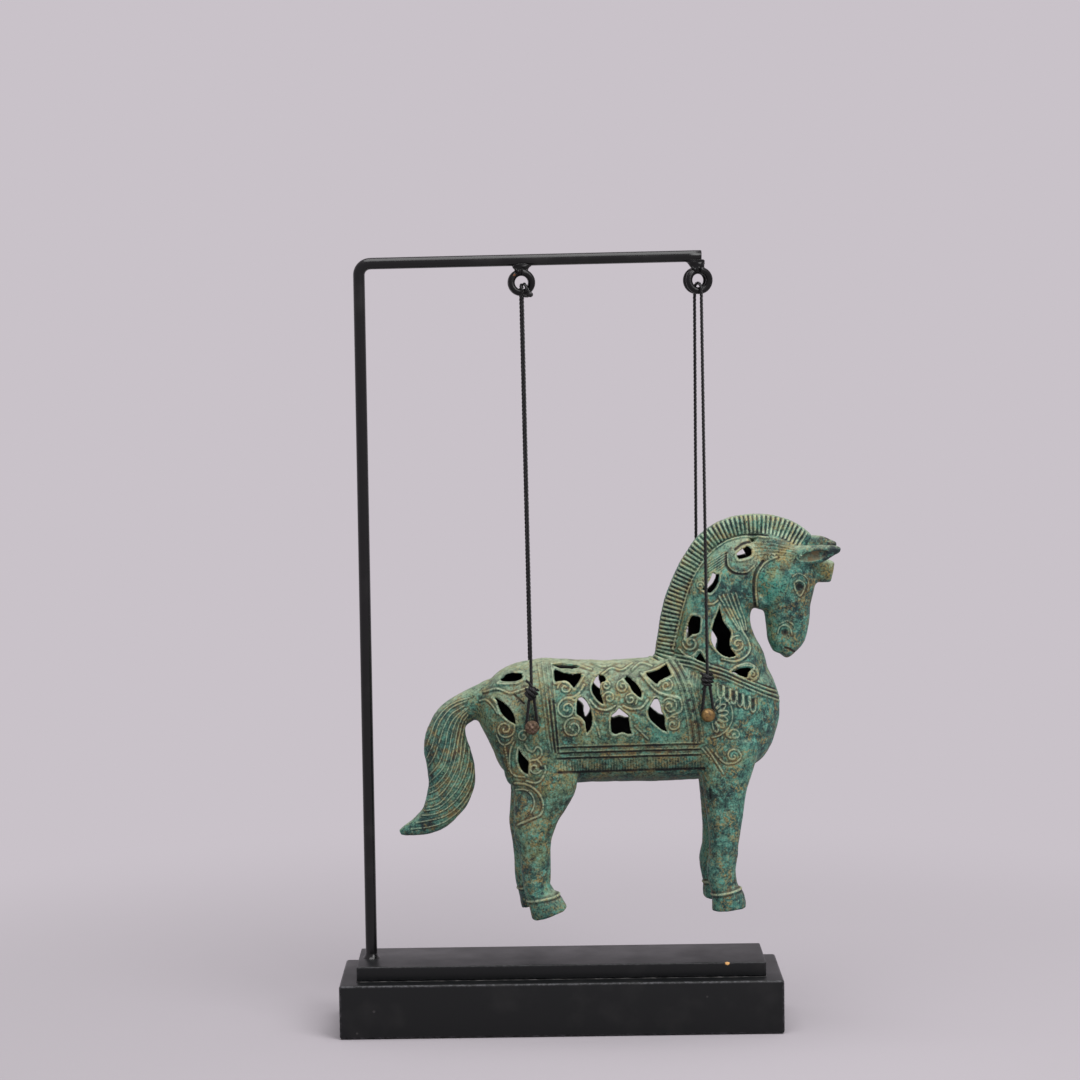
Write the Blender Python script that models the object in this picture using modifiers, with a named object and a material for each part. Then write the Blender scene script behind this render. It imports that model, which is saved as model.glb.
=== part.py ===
# Hanging horse: a hollow openwork bronze horse slung on four cords from a black gallows stand.
# Frame: origin under the middle of the base, +X the way the horse faces, +Y away from the viewer, +Z up.
import math

import bmesh
import bpy
from mathutils import Matrix, Vector

# Driving dimensions, in millimetres
PLINTH_LENGTH = 230.0
PLINTH_DEPTH = 63.0
PLINTH_HEIGHT = 28.0
PLINTH_ROUND = 1.4
STEP_INSET = 8.7
STEP_HEIGHT = 7.9
STEP_ROUND = 0.8

BAR_DIAMETER = 6.0
BAR_FROM_END = 15.4
ARM_HEIGHT = 399.3
ARM_RISE = 1.7
ARM_PAST_EYE = 1.7
BEND_RADIUS = 5.8

NUT_ACROSS_FLATS = 10.0
NUT_HEIGHT = 5.0
WASHER_DIAMETER = 12.5
WASHER_HEIGHT = 1.6
NUT_RECESS_DIAMETER = 18.0
NUT_RECESS_DEPTH = 11.0
BAR_STUB_PAST_NUT = 1.5

SCREW_FROM_END = 40.0
SCREW_DIAMETER = 4.0
SCREW_HEAD_DIAMETER = 8.0
SCREW_HEAD_HEIGHT = 2.6
SCREW_RECESS_DIAMETER = 10.0
SCREW_RECESS_DEPTH = 10.0
SCREW_BITE = 5.0

FRONT_EYE_DROP = 12.7
REAR_EYE_DROP = 11.6
FRONT_EYE_BACK = 1.6
REAR_EYE_BACK = 2.4
EYE_OUTER_DIAMETER = 13.9
EYE_WIRE_DIAMETER = 3.5
EYE_TURN_PITCH = 4.0
EYE_TURNS = 2
FRONT_EYE_YAW = math.radians(18.0)
REAR_EYE_YAW = math.radians(5.0)
WELD_DIAMETER = 6.4
WELD_FLARE = 10.8
WELD_DEPTH = 6.0
WELD_SINK = 0.6

CORD_DIAMETER = 1.7
KNOT_WIDTH = 6.6
KNOT_HEIGHT = 7.2
KNOT_FLATNESS = 0.8
KNOT_ABOVE_PIN = 17.8
FRONT_FAR_KNOT_BACK = 2.6
REAR_FAR_KNOT_BACK = 1.0
LOOP_SPLIT = 1.1
BIGHT_RISE = 4.0
BIGHT_SHOULDER = 1.0
BIGHT_LEG = 2.2
BIGHT_GAP = 0.6

FRONT_PIN_X = 76.9
FRONT_PIN_Z = 166.5
PIN_SPACING = 90.3
REAR_PIN_DROP = 5.6
PIN_DIAMETER = 3.2
PIN_HEAD_DIAMETER = 7.3
PIN_HEAD_REACH = 28.4
PEEN_HEIGHT = 3.4
CORD_LANE = 26.9

WALL = 2.6
LEG_WALL = 3.0
HORSE_SHIFT = -1.0
HIND_STAGGER = 3.0
FORE_STAGGER = 0.5
SIDE_REACH = 38.0
WEB = 2.0
FIT = 0.3
CUT_PAST = 2.0
MM = 0.001

BAR_X = BAR_FROM_END - PLINTH_LENGTH / 2
SCREW_X = PLINTH_LENGTH / 2 - SCREW_FROM_END
REAR_PIN_X = FRONT_PIN_X - PIN_SPACING
REAR_PIN_Z = FRONT_PIN_Z - REAR_PIN_DROP
FRONT_EYE_X = FRONT_PIN_X - FRONT_EYE_BACK
REAR_EYE_X = REAR_PIN_X - REAR_EYE_BACK
ARM_END_X = FRONT_EYE_X + ARM_PAST_EYE
BASE_TOP = PLINTH_HEIGHT + STEP_HEIGHT
CORD_RADIUS = CORD_DIAMETER / 2
EYE_RADIUS = (EYE_OUTER_DIAMETER - EYE_WIRE_DIAMETER) / 2
BIGHT_REACH = EYE_TURN_PITCH * (EYE_TURNS - 1) / 2 + EYE_WIRE_DIAMETER / 2 + FIT + CORD_RADIUS

# Loft stations of the horse in its rest place, in millimetres:
# x and z of the section's middle, y of the middle, half height along the section, half width across.
TRUNK = [
    (-40.5, 166.6, 0.0, 5.6, 8.0),
    (-34.5, 165.2, 0.0, 16.5, 16.4),
    (-28.0, 161.4, 0.0, 26.2, 21.5),
    (-18.0, 160.6, 0.0, 30.8, 24.0),
    (-4.0, 160.3, 0.0, 32.7, 24.8),
    (22.0, 159.8, 0.0, 31.8, 24.2),
    (50.0, 160.5, 0.0, 32.5, 24.6),
    (76.0, 162.6, 0.0, 33.6, 25.4),
    (95.0, 163.8, 0.0, 31.6, 23.4),
    (107.0, 164.3, 0.0, 25.3, 18.6),
    (112.8, 165.6, 0.0, 17.3, 13.5),
    (116.5, 166.8, 0.0, 6.2, 7.0),
]
NECK = [
    (84.0, 177.0, 0.0, 27.5, 22.5),
    (85.8, 190.0, 0.0, 26.6, 20.5),
    (84.6, 203.0, 0.0, 20.9, 17.5),
    (84.2, 215.5, 0.0, 18.0, 14.6),
    (88.0, 228.0, 0.0, 17.4, 13.2),
    (96.0, 238.5, 0.0, 16.6, 12.4),
    (106.0, 243.5, 0.0, 14.5, 11.6),
]
HEAD = [
    (105.5, 254.5, 0.0, 9.5, 9.0),
    (116.0, 244.0, 0.0, 15.5, 11.8),
    (119.5, 235.0, 0.0, 17.2, 12.8),
    (120.4, 227.0, 0.0, 15.0, 12.2),
    (120.4, 218.0, 0.0, 13.2, 10.4),
    (120.6, 208.5, 0.0, 11.0, 8.6),
    (119.8, 200.3, 0.0, 9.4, 8.2),
    (118.4, 194.0, 0.0, 4.8, 5.6),
]
CREST = [
    (55.6, 188.0, 0.0, 5.0, 5.5),
    (58.7, 197.0, 0.0, 6.2, 5.6),
    (61.9, 216.0, 0.0, 6.4, 5.6),
    (66.9, 230.5, 0.0, 6.4, 5.6),
    (73.8, 244.0, 0.0, 6.4, 5.6),
    (81.9, 253.6, 0.0, 6.4, 5.6),
    (92.2, 259.2, 0.0, 6.4, 5.6),
    (103.6, 260.8, 0.0, 6.4, 5.6),
    (114.2, 259.8, 0.0, 6.6, 5.6),
    (123.4, 255.6, 0.0, 7.0, 5.6),
    (131.0, 250.4, 0.0, 6.4, 5.0),
]
TAIL = [
    (-32.0, 174.0, 0.0, 9.2, 8.0),
    (-45.5, 168.8, 0.0, 7.9, 7.0),
    (-54.8, 161.8, 0.0, 8.8, 7.2),
    (-57.8, 150.0, 0.0, 11.4, 7.8),
    (-55.6, 138.5, 0.0, 12.5, 8.0),
    (-54.9, 128.0, 0.0, 12.1, 8.0),
    (-58.6, 118.4, 0.0, 10.6, 7.6),
    (-64.4, 110.2, 0.0, 7.9, 6.8),
    (-73.2, 105.3, 0.0, 5.0, 5.0),
    (-82.8, 102.3, 0.0, 1.6, 1.8),
]
EAR = [
    (119.5, 247.0, 7.0, 4.6, 3.6),
    (130.0, 249.4, 9.4, 5.0, 3.6),
    (139.0, 250.6, 10.8, 4.2, 3.0),
    (148.6, 249.4, 11.4, 1.6, 1.8),
]
FORELOCK = [
    (129.0, 239.8, 0.0, 7.6, 6.0),
    (138.0, 237.7, 0.0, 6.8, 5.2),
    (145.2, 236.2, 0.0, 5.4, 4.4),
]
HIND_LEG = [
    (-9.0, 152.0, 13.0, 21.0, 11.5),
    (-8.7, 140.0, 13.6, 19.4, 11.6),
    (-7.0, 129.0, 15.0, 17.4, 10.6),
    (-10.5, 115.0, 16.2, 12.5, 9.4),
    (-12.5, 104.5, 16.8, 10.4, 8.8),
    (-12.1, 95.0, 17.0, 8.4, 8.0),
    (-11.3, 84.0, 17.0, 7.8, 7.6),
    (-11.0, 75.5, 17.0, 7.0, 7.7),
    (-8.6, 69.0, 17.0, 7.7, 8.0),
]
HIND_HOOF = [
    (-8.0, 70.8, 17.0, 8.2, 8.8),
    (-6.4, 66.8, 17.0, 9.0, 9.4),
    (-4.4, 61.2, 17.0, 10.0, 9.5),
]
FORELEG = [
    (90.0, 152.0, 13.0, 17.0, 11.5),
    (88.4, 139.0, 13.8, 14.4, 11.2),
    (87.2, 128.0, 15.2, 11.8, 10.4),
    (86.9, 115.0, 16.4, 10.0, 9.0),
    (86.5, 102.0, 17.0, 8.2, 8.2),
    (85.8, 92.0, 17.0, 7.5, 7.8),
    (84.6, 83.0, 17.0, 7.6, 7.8),
    (85.7, 76.5, 17.0, 7.1, 7.8),
    (87.0, 71.0, 17.0, 7.3, 8.0),
]
FORE_HOOF = [
    (87.2, 72.8, 17.0, 7.8, 8.8),
    (88.2, 68.4, 17.0, 8.6, 9.4),
    (88.9, 63.0, 17.0, 9.1, 9.5),
]
# Where the hollow of the neck ends
HOLLOW_NECK_END = (102.0, 242.0, 0.0, 11.5, 9.6)
# How many stations of each upper leg are hollow
HOLLOW_LEG_STATIONS = 3
# Rings of a loft from one station to the next
LOFT_SPANS = 4
# Grain of each fused skin, its rounds of smoothing and the share of its facets kept
CASTING_GRAIN = 1.2
CASTING_ROUNDS = 8
CASTING_SHARE = 0.036
CORE_GRAIN = 2.0
CORE_ROUNDS = 5
CORE_SHARE = 0.045

# Openings as drawn on the side view, which counts across to the right and down.
# Each part of the drawing has one known place: across, down, x and z in millimetres.
DRAWING_ACROSS = 0.515
DRAWING_DOWN = 0.5195
DRAWING_TILT = 0.007
BODY_PLACE = (600.0, 710.0, 21.7, 168.8)
NECK_PLACE = (720.0, 620.0, 84.3, 213.5)
# The far side's openings lie a little higher on the body and lower on the neck
FAR_BODY_SHIFT = (0.0, 2.0)
FAR_NECK_SHIFT = (-5.0, -7.0)
RUMP_SLOT = [
    (499, 684), (501, 682), (504, 680), (505.5, 678), (510.5, 676.5),
    (522, 676), (523, 678.5), (521, 681.5), (514.5, 683.5), (505.5, 684),
]
HAUNCH_LEAF = [
    (493, 699), (498, 699.5), (503, 702), (509.5, 707.5), (514, 713.5), (516, 719.5),
    (516, 725), (511.5, 723), (505.5, 718.5), (501, 713.5), (498.5, 708), (496.5, 702.5),
]
THIGH_LEAF = [
    (518.5, 749), (521, 750.5), (523, 754.5), (526.5, 759), (529, 762), (529, 767),
    (529, 774.5), (525, 773.5), (521, 769.5), (518.5, 764), (517.5, 757.5),
]
BLANKET_REAR = [
    (553.5, 671.5), (558.5, 673.5), (564.5, 675.5), (572, 676.5), (582.5, 676), (580.5, 680.5),
    (577.5, 685), (573.5, 689.5), (570, 685), (565.5, 682.5), (560.5, 682.5), (555, 683.5),
]
CRESCENT = [
    (594.5, 680), (598.5, 677), (604, 677.5), (606.5, 680.5), (605.5, 683.5), (602, 684.5), (600.5, 688),
    (601, 694), (603, 700), (604.5, 704.5), (602, 704.5), (597.5, 701), (593.5, 695.5), (591.5, 690), (592, 685),
]
SLANTED_LEAF = [
    (623, 680.5), (626.5, 678), (631.5, 679.5), (636.5, 684), (641, 690), (642, 695),
    (640.5, 699), (635.5, 695.5), (631.5, 691), (629, 686), (625.5, 683),
]
BLANKET_FRONT = [
    (644, 674.5), (650, 675), (657, 672.5), (662, 669.5), (667, 666.5), (669.5, 670.5), (671.5, 675.5),
    (670.5, 677), (665.5, 679.5), (660, 682.5), (657, 685.5), (653, 682.5), (649, 679),
]
TALL_REAR = [
    (578.5, 698), (582, 697), (586, 700), (589.5, 705.5), (591.5, 711.5), (593, 719.5), (592, 726.5), (589.5, 731),
    (586.5, 734), (585, 729), (584, 721.5), (581, 717.5), (576.5, 714.5), (576, 707.5), (576.5, 701),
]
TALL_FRONT = [
    (650, 705.5), (653.5, 699), (658.5, 699), (661, 705.5), (662, 711.5), (665.5, 717.5), (665.5, 724.5),
    (668, 732), (662, 730.5), (656, 725.5), (651, 720.5), (648, 715.5), (648, 709.5),
]
STAR = [
    (619, 708), (623.5, 711.5), (628.5, 715.5), (629.5, 721.5), (630.5, 728), (632.5, 733.5),
    (627.5, 734.5), (622, 732.5), (615.5, 734.5), (611, 732), (610.5, 721.5), (611.5, 715.5), (615.5, 712),
]
POLL_LEAF = [(736.5, 554), (740.5, 550.5), (747.5, 546.5), (752, 550.5), (751.5, 556), (746.5, 558.5), (738.5, 560)]
NECK_HOOK = [
    (712.5, 573), (715.5, 574), (719.5, 574.5), (718.5, 582.5), (715.5, 588.5),
    (711, 593.5), (708, 593), (701.5, 589.5), (706, 586.5), (709.5, 580.5),
]
NECK_REAR = [
    (692, 616), (700.5, 618), (700.5, 626), (699.5, 633), (692.5, 635.5), (686.5, 640), (686.5, 631), (688.5, 623),
]
NECK_FRONT = [
    (719.5, 605.5), (721.5, 612.5), (723.5, 620.5), (728, 627.5), (731, 633), (730, 642.5), (731.5, 648), (736, 654),
    (735.5, 656), (729, 657), (721, 654.5), (714.5, 648), (711, 641), (711, 632), (713.5, 621.5), (716.5, 612.5),
]
NECK_FOOT = [(700.5, 651.5), (706, 660.5), (707.5, 663.5), (695, 659)]
SHOULDER_LEAF = [
    (730.5, 671.5), (739.5, 667.5), (747.5, 666.5), (753.5, 668.5), (750, 671), (746.5, 677.5), (738.5, 674.5),
]
BODY_OPENINGS = [
    RUMP_SLOT, HAUNCH_LEAF, THIGH_LEAF, BLANKET_REAR, CRESCENT,
    SLANTED_LEAF, BLANKET_FRONT, TALL_REAR, TALL_FRONT, STAR,
]
POLL_OPENINGS = [POLL_LEAF, NECK_HOOK]
NECK_OPENINGS = [NECK_REAR, NECK_FRONT, NECK_FOOT, SHOULDER_LEAF]
# Slot in each shoulder of the back, in x and distance from the middle; cut down into the hollow
BACK_SLOT = [(-3.8, 10.3), (1.0, 8.6), (8.0, 8.6), (12.3, 10.3), (8.0, 12.0), (1.0, 12.0)]
BACK_SLOT_FLOOR = 176.0
BACK_SLOT_TOP = 206.0
# Hollow in each ear: x, z and y of its middle, its three sizes, its lean and its splay
EAR_HOLLOW = (133.5, 248.8, 14.2)
EAR_HOLLOW_SIZE = (20.0, 6.0, 6.0)
EAR_LEAN = math.radians(6.0)
EAR_SPLAY = math.radians(9.0)


def new_collection(name):
    made = bpy.data.collections.new(name)
    bpy.context.scene.collection.children.link(made)
    return made


for old in list(bpy.data.objects):
    bpy.data.objects.remove(old, do_unlink=True)
PARTS = new_collection("hanging_horse")
CUTTERS = new_collection("hanging_horse_cutters")


def make_material(name, colour, metallic, roughness):
    made = bpy.data.materials.new(name)
    made.use_nodes = True
    shader = made.node_tree.nodes["Principled BSDF"]
    shader.inputs["Base Color"].default_value = (*colour, 1.0)
    shader.inputs["Metallic"].default_value = metallic
    shader.inputs["Roughness"].default_value = roughness
    made.diffuse_color = (*colour, 1.0)
    return made


BLACK_WOOD = make_material("black painted wood", (0.015, 0.016, 0.018), 0.0, 0.45)
BLACK_STEEL = make_material("black painted steel", (0.014, 0.015, 0.016), 0.0, 0.4)
ZINC = make_material("zinc plated steel", (0.5, 0.5, 0.5), 1.0, 0.35)
CORD = make_material("black cord", (0.01, 0.01, 0.01), 0.0, 0.8)
VERDIGRIS = make_material("verdigris bronze", (0.09, 0.28, 0.22), 0.3, 0.6)
BRONZE = make_material("worn bronze", (0.26, 0.14, 0.05), 0.9, 0.4)


def add_object(name, mesh, material=None, at=(0.0, 0.0, 0.0), cutter=False):
    # The mesh is in millimetres of the whole object; the new object's origin goes to the point at.
    offset = Vector(at)
    for vertex in mesh.vertices:
        vertex.co = (vertex.co - offset) * MM
    made = bpy.data.objects.new(name, mesh)
    made.location = offset * MM
    (CUTTERS if cutter else PARTS).objects.link(made)
    if cutter:
        made.hide_render = True
        made.display_type = "WIRE"
    else:
        mesh.materials.append(material)
        mesh.shade_smooth()
        mesh.set_sharp_from_angle(angle=math.radians(40.0))
    return made


def to_mesh(build, name):
    mesh = bpy.data.meshes.new(name)
    bmesh.ops.recalc_face_normals(build, faces=build.faces)
    build.to_mesh(mesh)
    build.free()
    return mesh


def boolean(target, tool, operation):
    step = target.modifiers.new(f"{operation.lower()} {tool.name}", "BOOLEAN")
    step.object = tool
    step.operation = operation
    step.solver = "EXACT"


def bevel(target, width):
    step = target.modifiers.new("rounded edges", "BEVEL")
    step.width = width * MM
    step.segments = 2
    step.limit_method = "ANGLE"


def box(name, size, middle):
    build = bmesh.new()
    bmesh.ops.create_cube(build, size=1.0)
    bmesh.ops.scale(build, vec=Vector(size), verts=build.verts)
    bmesh.ops.translate(build, vec=Vector(middle), verts=build.verts)
    return to_mesh(build, name)


def turned(name, profile, sides, axis_y=False, middle=(0.0, 0.0, 0.0)):
    # profile: radius and height from the bottom of the axis to its top
    build = bmesh.new()
    line = [build.verts.new((radius, 0.0, height)) for radius, height in profile]
    edges = [build.edges.new(pair) for pair in zip(line, line[1:])]
    bmesh.ops.spin(
        build, geom=line + edges, cent=(0, 0, 0), axis=(0, 0, 1), angle=math.tau, steps=sides, use_merge=True
    )
    bmesh.ops.remove_doubles(build, verts=build.verts, dist=0.001)
    for vertex in build.verts:
        x, y, z = vertex.co
        turned_co = Vector((x, z, -y)) if axis_y else Vector((x, y, z))
        vertex.co = turned_co + Vector(middle)
    return to_mesh(build, name)


def rod(name, radius, low, high, x, y=0.0, sides=24):
    return turned(name, [(0, low), (radius, low), (radius, high), (0, high)], sides, middle=(x, y, 0))


def tube(name, path, radius, closed=False, resolution=2):
    # A swept wire: a curve with a round bevel and filled caps, made a mesh with its caps welded
    curve = bpy.data.curves.new(name, "CURVE")
    curve.dimensions = "3D"
    curve.bevel_depth = radius
    curve.bevel_resolution = resolution
    curve.use_fill_caps = True
    spline = curve.splines.new("POLY")
    spline.points.add(len(path) - 1)
    for point, place in zip(spline.points, path):
        point.co = (*place, 1.0)
    spline.use_cyclic_u = closed
    holder = bpy.data.objects.new(name, curve)
    bpy.context.scene.collection.objects.link(holder)
    evaluated = holder.evaluated_get(bpy.context.evaluated_depsgraph_get())
    mesh = bpy.data.meshes.new_from_object(evaluated)
    bpy.data.objects.remove(holder, do_unlink=True)
    build = bmesh.new()
    build.from_mesh(mesh)
    bmesh.ops.remove_doubles(build, verts=build.verts, dist=0.0005)
    return to_mesh(build, name)


def through(stations, spans):
    # Catmull-Rom curve through rows of numbers
    rows = [Vector(row) for row in stations]
    rows = [rows[0] * 2 - rows[1], *rows, rows[-1] * 2 - rows[-2]]
    smooth = []
    for before, start, end, after in zip(rows, rows[1:], rows[2:], rows[3:]):
        for step in range(spans):
            t = step / spans
            smooth.append(
                0.5
                * (
                    2 * start
                    + (end - before) * t
                    + (2 * before - 5 * start + 4 * end - after) * t**2
                    + (3 * start - before - 3 * end + after) * t**3
                )
            )
    return [*smooth, rows[-2]]


def loft(build, stations, side=1, shrink=0.0, sides=24, squareness=2.3):
    # A skin through oval sections, which stand upright in the trunk and square to the middle line elsewhere
    rows = through(stations, LOFT_SPANS)
    rings = []
    for index, row in enumerate(rows):
        x, z, y, tall, wide = row
        ahead = rows[min(index + 1, len(rows) - 1)]
        behind = rows[max(index - 1, 0)]
        along = Vector((ahead[0] - behind[0], ahead[1] - behind[1])).normalized()
        if stations is TRUNK:
            along = Vector((1.0, 0.0))
        ring = []
        for corner in range(sides):
            angle = math.tau * corner / sides
            c, s = math.cos(angle), math.sin(angle)
            across = math.copysign(abs(c) ** (2 / squareness), c) * max(wide - shrink, 0.4)
            up = math.copysign(abs(s) ** (2 / squareness), s) * max(tall - shrink, 0.4)
            ring.append(
                build.verts.new((x + HORSE_SHIFT - along[1] * up, side * y + across, z + along[0] * up))
            )
        rings.append(ring)
    for low, high in zip(rings, rings[1:]):
        for corner in range(sides):
            after = (corner + 1) % sides
            build.faces.new((low[corner], low[after], high[after], high[corner]))
    build.faces.new(rings[0])
    build.faces.new(rings[-1])


def skin(target, grain, rounds, share):
    # Fuses the lofts into one skin, softens where they meet and thins out its facets
    fuse = target.modifiers.new("fuse", "REMESH")
    fuse.mode = "VOXEL"
    fuse.voxel_size = grain * MM
    soften = target.modifiers.new("soften", "SMOOTH")
    soften.factor = 0.5
    soften.iterations = int(rounds)
    thin = target.modifiers.new("thin", "DECIMATE")
    thin.ratio = share
    thin.use_collapse_triangulate = True


def prism(build, places, depth):
    # A flat outline run along depth
    face = build.faces.new([build.verts.new(place) for place in places])
    moved = bmesh.ops.extrude_face_region(build, geom=[face])["geom"]
    bmesh.ops.translate(
        build, vec=Vector(depth), verts=[item for item in moved if isinstance(item, bmesh.types.BMVert)]
    )


def drawn(outline, place, shift=(0.0, 0.0)):
    # An outline of the drawing as x and z in millimetres
    across, down, x, z = place
    return [
        (
            x + shift[0] + (u - across) * DRAWING_ACROSS - (v - down) * DRAWING_TILT,
            z + shift[1] - (v - down) * DRAWING_DOWN - (u - across) * DRAWING_TILT,
        )
        for u, v in outline
    ]


def stepped_hole(name, wide, wide_top, narrow, narrow_top, x):
    # A cutter for a hole from below: a wide recess, then a narrow bore
    profile = [(0, -CUT_PAST), (wide / 2, -CUT_PAST), (wide / 2, wide_top)]
    profile += [(narrow / 2, wide_top), (narrow / 2, narrow_top), (0, narrow_top)]
    return add_object(name, turned(name, profile, 20, middle=(x, 0, 0)), cutter=True)


def build_base():
    bar_hole = stepped_hole(
        "bar_hole", NUT_RECESS_DIAMETER, NUT_RECESS_DEPTH, BAR_DIAMETER + 2 * FIT, BASE_TOP + CUT_PAST, BAR_X
    )
    plinth = add_object(
        "base_plinth",
        box("base_plinth", (PLINTH_LENGTH, PLINTH_DEPTH, PLINTH_HEIGHT), (0, 0, PLINTH_HEIGHT / 2)),
        BLACK_WOOD,
    )
    step_size = (PLINTH_LENGTH - 2 * STEP_INSET, PLINTH_DEPTH - 2 * STEP_INSET, STEP_HEIGHT - FIT)
    step = add_object(
        "base_step", box("base_step", step_size, (0, 0, BASE_TOP - step_size[2] / 2)), BLACK_WOOD
    )
    bevel(plinth, PLINTH_ROUND)
    bevel(step, STEP_ROUND)
    for piece in (plinth, step):
        boolean(piece, bar_hole, "DIFFERENCE")
    tip = PLINTH_HEIGHT + SCREW_BITE
    seat = SCREW_RECESS_DEPTH
    for name, x in (("left", -SCREW_X), ("right", SCREW_X)):
        shank, head = SCREW_DIAMETER / 2, SCREW_HEAD_DIAMETER / 2
        hole = stepped_hole(
            f"screw_hole_{name}", SCREW_RECESS_DIAMETER, seat, SCREW_DIAMETER + 2 * FIT, tip + FIT, x
        )
        for piece in (plinth, step):
            boolean(piece, hole, "DIFFERENCE")
        top = seat - FIT
        profile = [(0, top - SCREW_HEAD_HEIGHT), (head, top - SCREW_HEAD_HEIGHT), (head, top)]
        profile += [(shank, top), (shank, tip - shank), (0, tip)]
        screw = turned(f"step_screw_{name}", profile, 16, middle=(x, 0, 0))
        add_object(f"step_screw_{name}", screw, ZINC)


def arm_height(x):
    return ARM_HEIGHT + ARM_RISE * (x - BAR_X) / (ARM_END_X - BAR_X)


def build_bar():
    washer_top = NUT_RECESS_DEPTH - FIT
    nut_top = washer_top - WASHER_HEIGHT - FIT
    foot = nut_top - NUT_HEIGHT - BAR_STUB_PAST_NUT
    path = [(BAR_X, 0, foot)]
    for step in range(9):
        angle = math.radians(90 * step / 8)
        path.append(
            (
                BAR_X + BEND_RADIUS * (1 - math.cos(angle)),
                0,
                arm_height(BAR_X) - BEND_RADIUS * (1 - math.sin(angle)),
            )
        )
    path.append((ARM_END_X, 0, arm_height(ARM_END_X)))
    add_object("gallows_bar", tube("gallows_bar", path, BAR_DIAMETER / 2, resolution=4), BLACK_STEEL)
    bore = BAR_DIAMETER / 2 + FIT
    ring = [(bore, washer_top - WASHER_HEIGHT), (WASHER_DIAMETER / 2, washer_top - WASHER_HEIGHT)]
    ring += [(WASHER_DIAMETER / 2, washer_top), (bore, washer_top)]
    washer = turned("bar_washer", [*ring, ring[0]], 24, middle=(BAR_X, 0, 0))
    add_object("bar_washer", washer, ZINC)
    corner = NUT_ACROSS_FLATS / 2 / math.cos(math.pi / 6)
    nut = rod("bar_nut", corner, nut_top - NUT_HEIGHT, nut_top, BAR_X, sides=6)
    thread = rod("nut_bore", bore, nut_top - NUT_HEIGHT - CUT_PAST, nut_top + CUT_PAST, BAR_X)
    nut = add_object("bar_nut", nut, ZINC)
    boolean(nut, add_object("nut_bore", thread, cutter=True), "DIFFERENCE")


def yawed(point, middle, yaw):
    x, y, z = point
    across = x - middle[0]
    return (
        middle[0] + across * math.cos(yaw) - y * math.sin(yaw),
        across * math.sin(yaw) + y * math.cos(yaw),
        z,
    )


def swing_middle(x, drop):
    # The lowest point of the eye's wires, which the cords swing about
    return (x, 0.0, arm_height(x) - drop - EYE_RADIUS)


def build_eye(name, x, drop, yaw):
    # Two turns of wire side by side, their top welded to the underside of the arm
    middle = (x, 0.0, arm_height(x) - drop)
    steps = 20 * EYE_TURNS
    path = []
    for step in range(steps + 1):
        turn = math.tau * EYE_TURNS * step / steps
        y = EYE_TURN_PITCH * (EYE_TURNS * step / steps - EYE_TURNS / 2)
        point = (x + EYE_RADIUS * math.sin(turn), y, middle[2] + EYE_RADIUS * math.cos(turn))
        path.append(yawed(point, middle, yaw))
    eye = add_object(name, tube(name, path, EYE_WIRE_DIAMETER / 2), BLACK_STEEL, at=middle)
    top = arm_height(x)
    low = middle[2] + EYE_RADIUS - WELD_SINK
    profile = [(0, low), (WELD_DIAMETER / 2, low), (WELD_DIAMETER / 2, top - drop / 2 + WELD_SINK)]
    profile += [(WELD_FLARE / 2, top - BAR_DIAMETER / 2), (WELD_FLARE / 2, top), (0, top)]
    weld = turned(f"{name}_weld", profile, 20, middle=(x, 0, 0))
    for vertex in weld.vertices:
        vertex.co.y *= WELD_DEPTH / WELD_FLARE
    boolean(eye, add_object(f"{name}_weld", weld, cutter=True), "UNION")
    arm_path = [(place, 0, arm_height(place)) for place in (x - 2 * WELD_FLARE, x + 2 * WELD_FLARE)]
    arm = tube(f"{name}_arm_cut", arm_path, BAR_DIAMETER / 2 + FIT, resolution=4)
    boolean(eye, add_object(f"{name}_arm_cut", arm, cutter=True), "DIFFERENCE")


def build_hitch(name, x, drop, yaw):
    # A bight of cord over both wires of the eye, loose enough to roll on them as the horse swings sideways
    middle = swing_middle(x, drop)
    path = [(x, -BIGHT_REACH, middle[2] - BIGHT_LEG)]
    for step in range(13):
        turn = math.pi * step / 12
        rise = BIGHT_SHOULDER + (BIGHT_RISE - BIGHT_SHOULDER) * math.sin(turn)
        path.append((x, -BIGHT_REACH * math.cos(turn), middle[2] + rise))
    path.append((x, BIGHT_REACH, middle[2] - BIGHT_LEG))
    path = [yawed(point, middle, yaw) for point in path]
    add_object(name, tube(name, path, CORD_RADIUS), CORD, at=middle)


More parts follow.
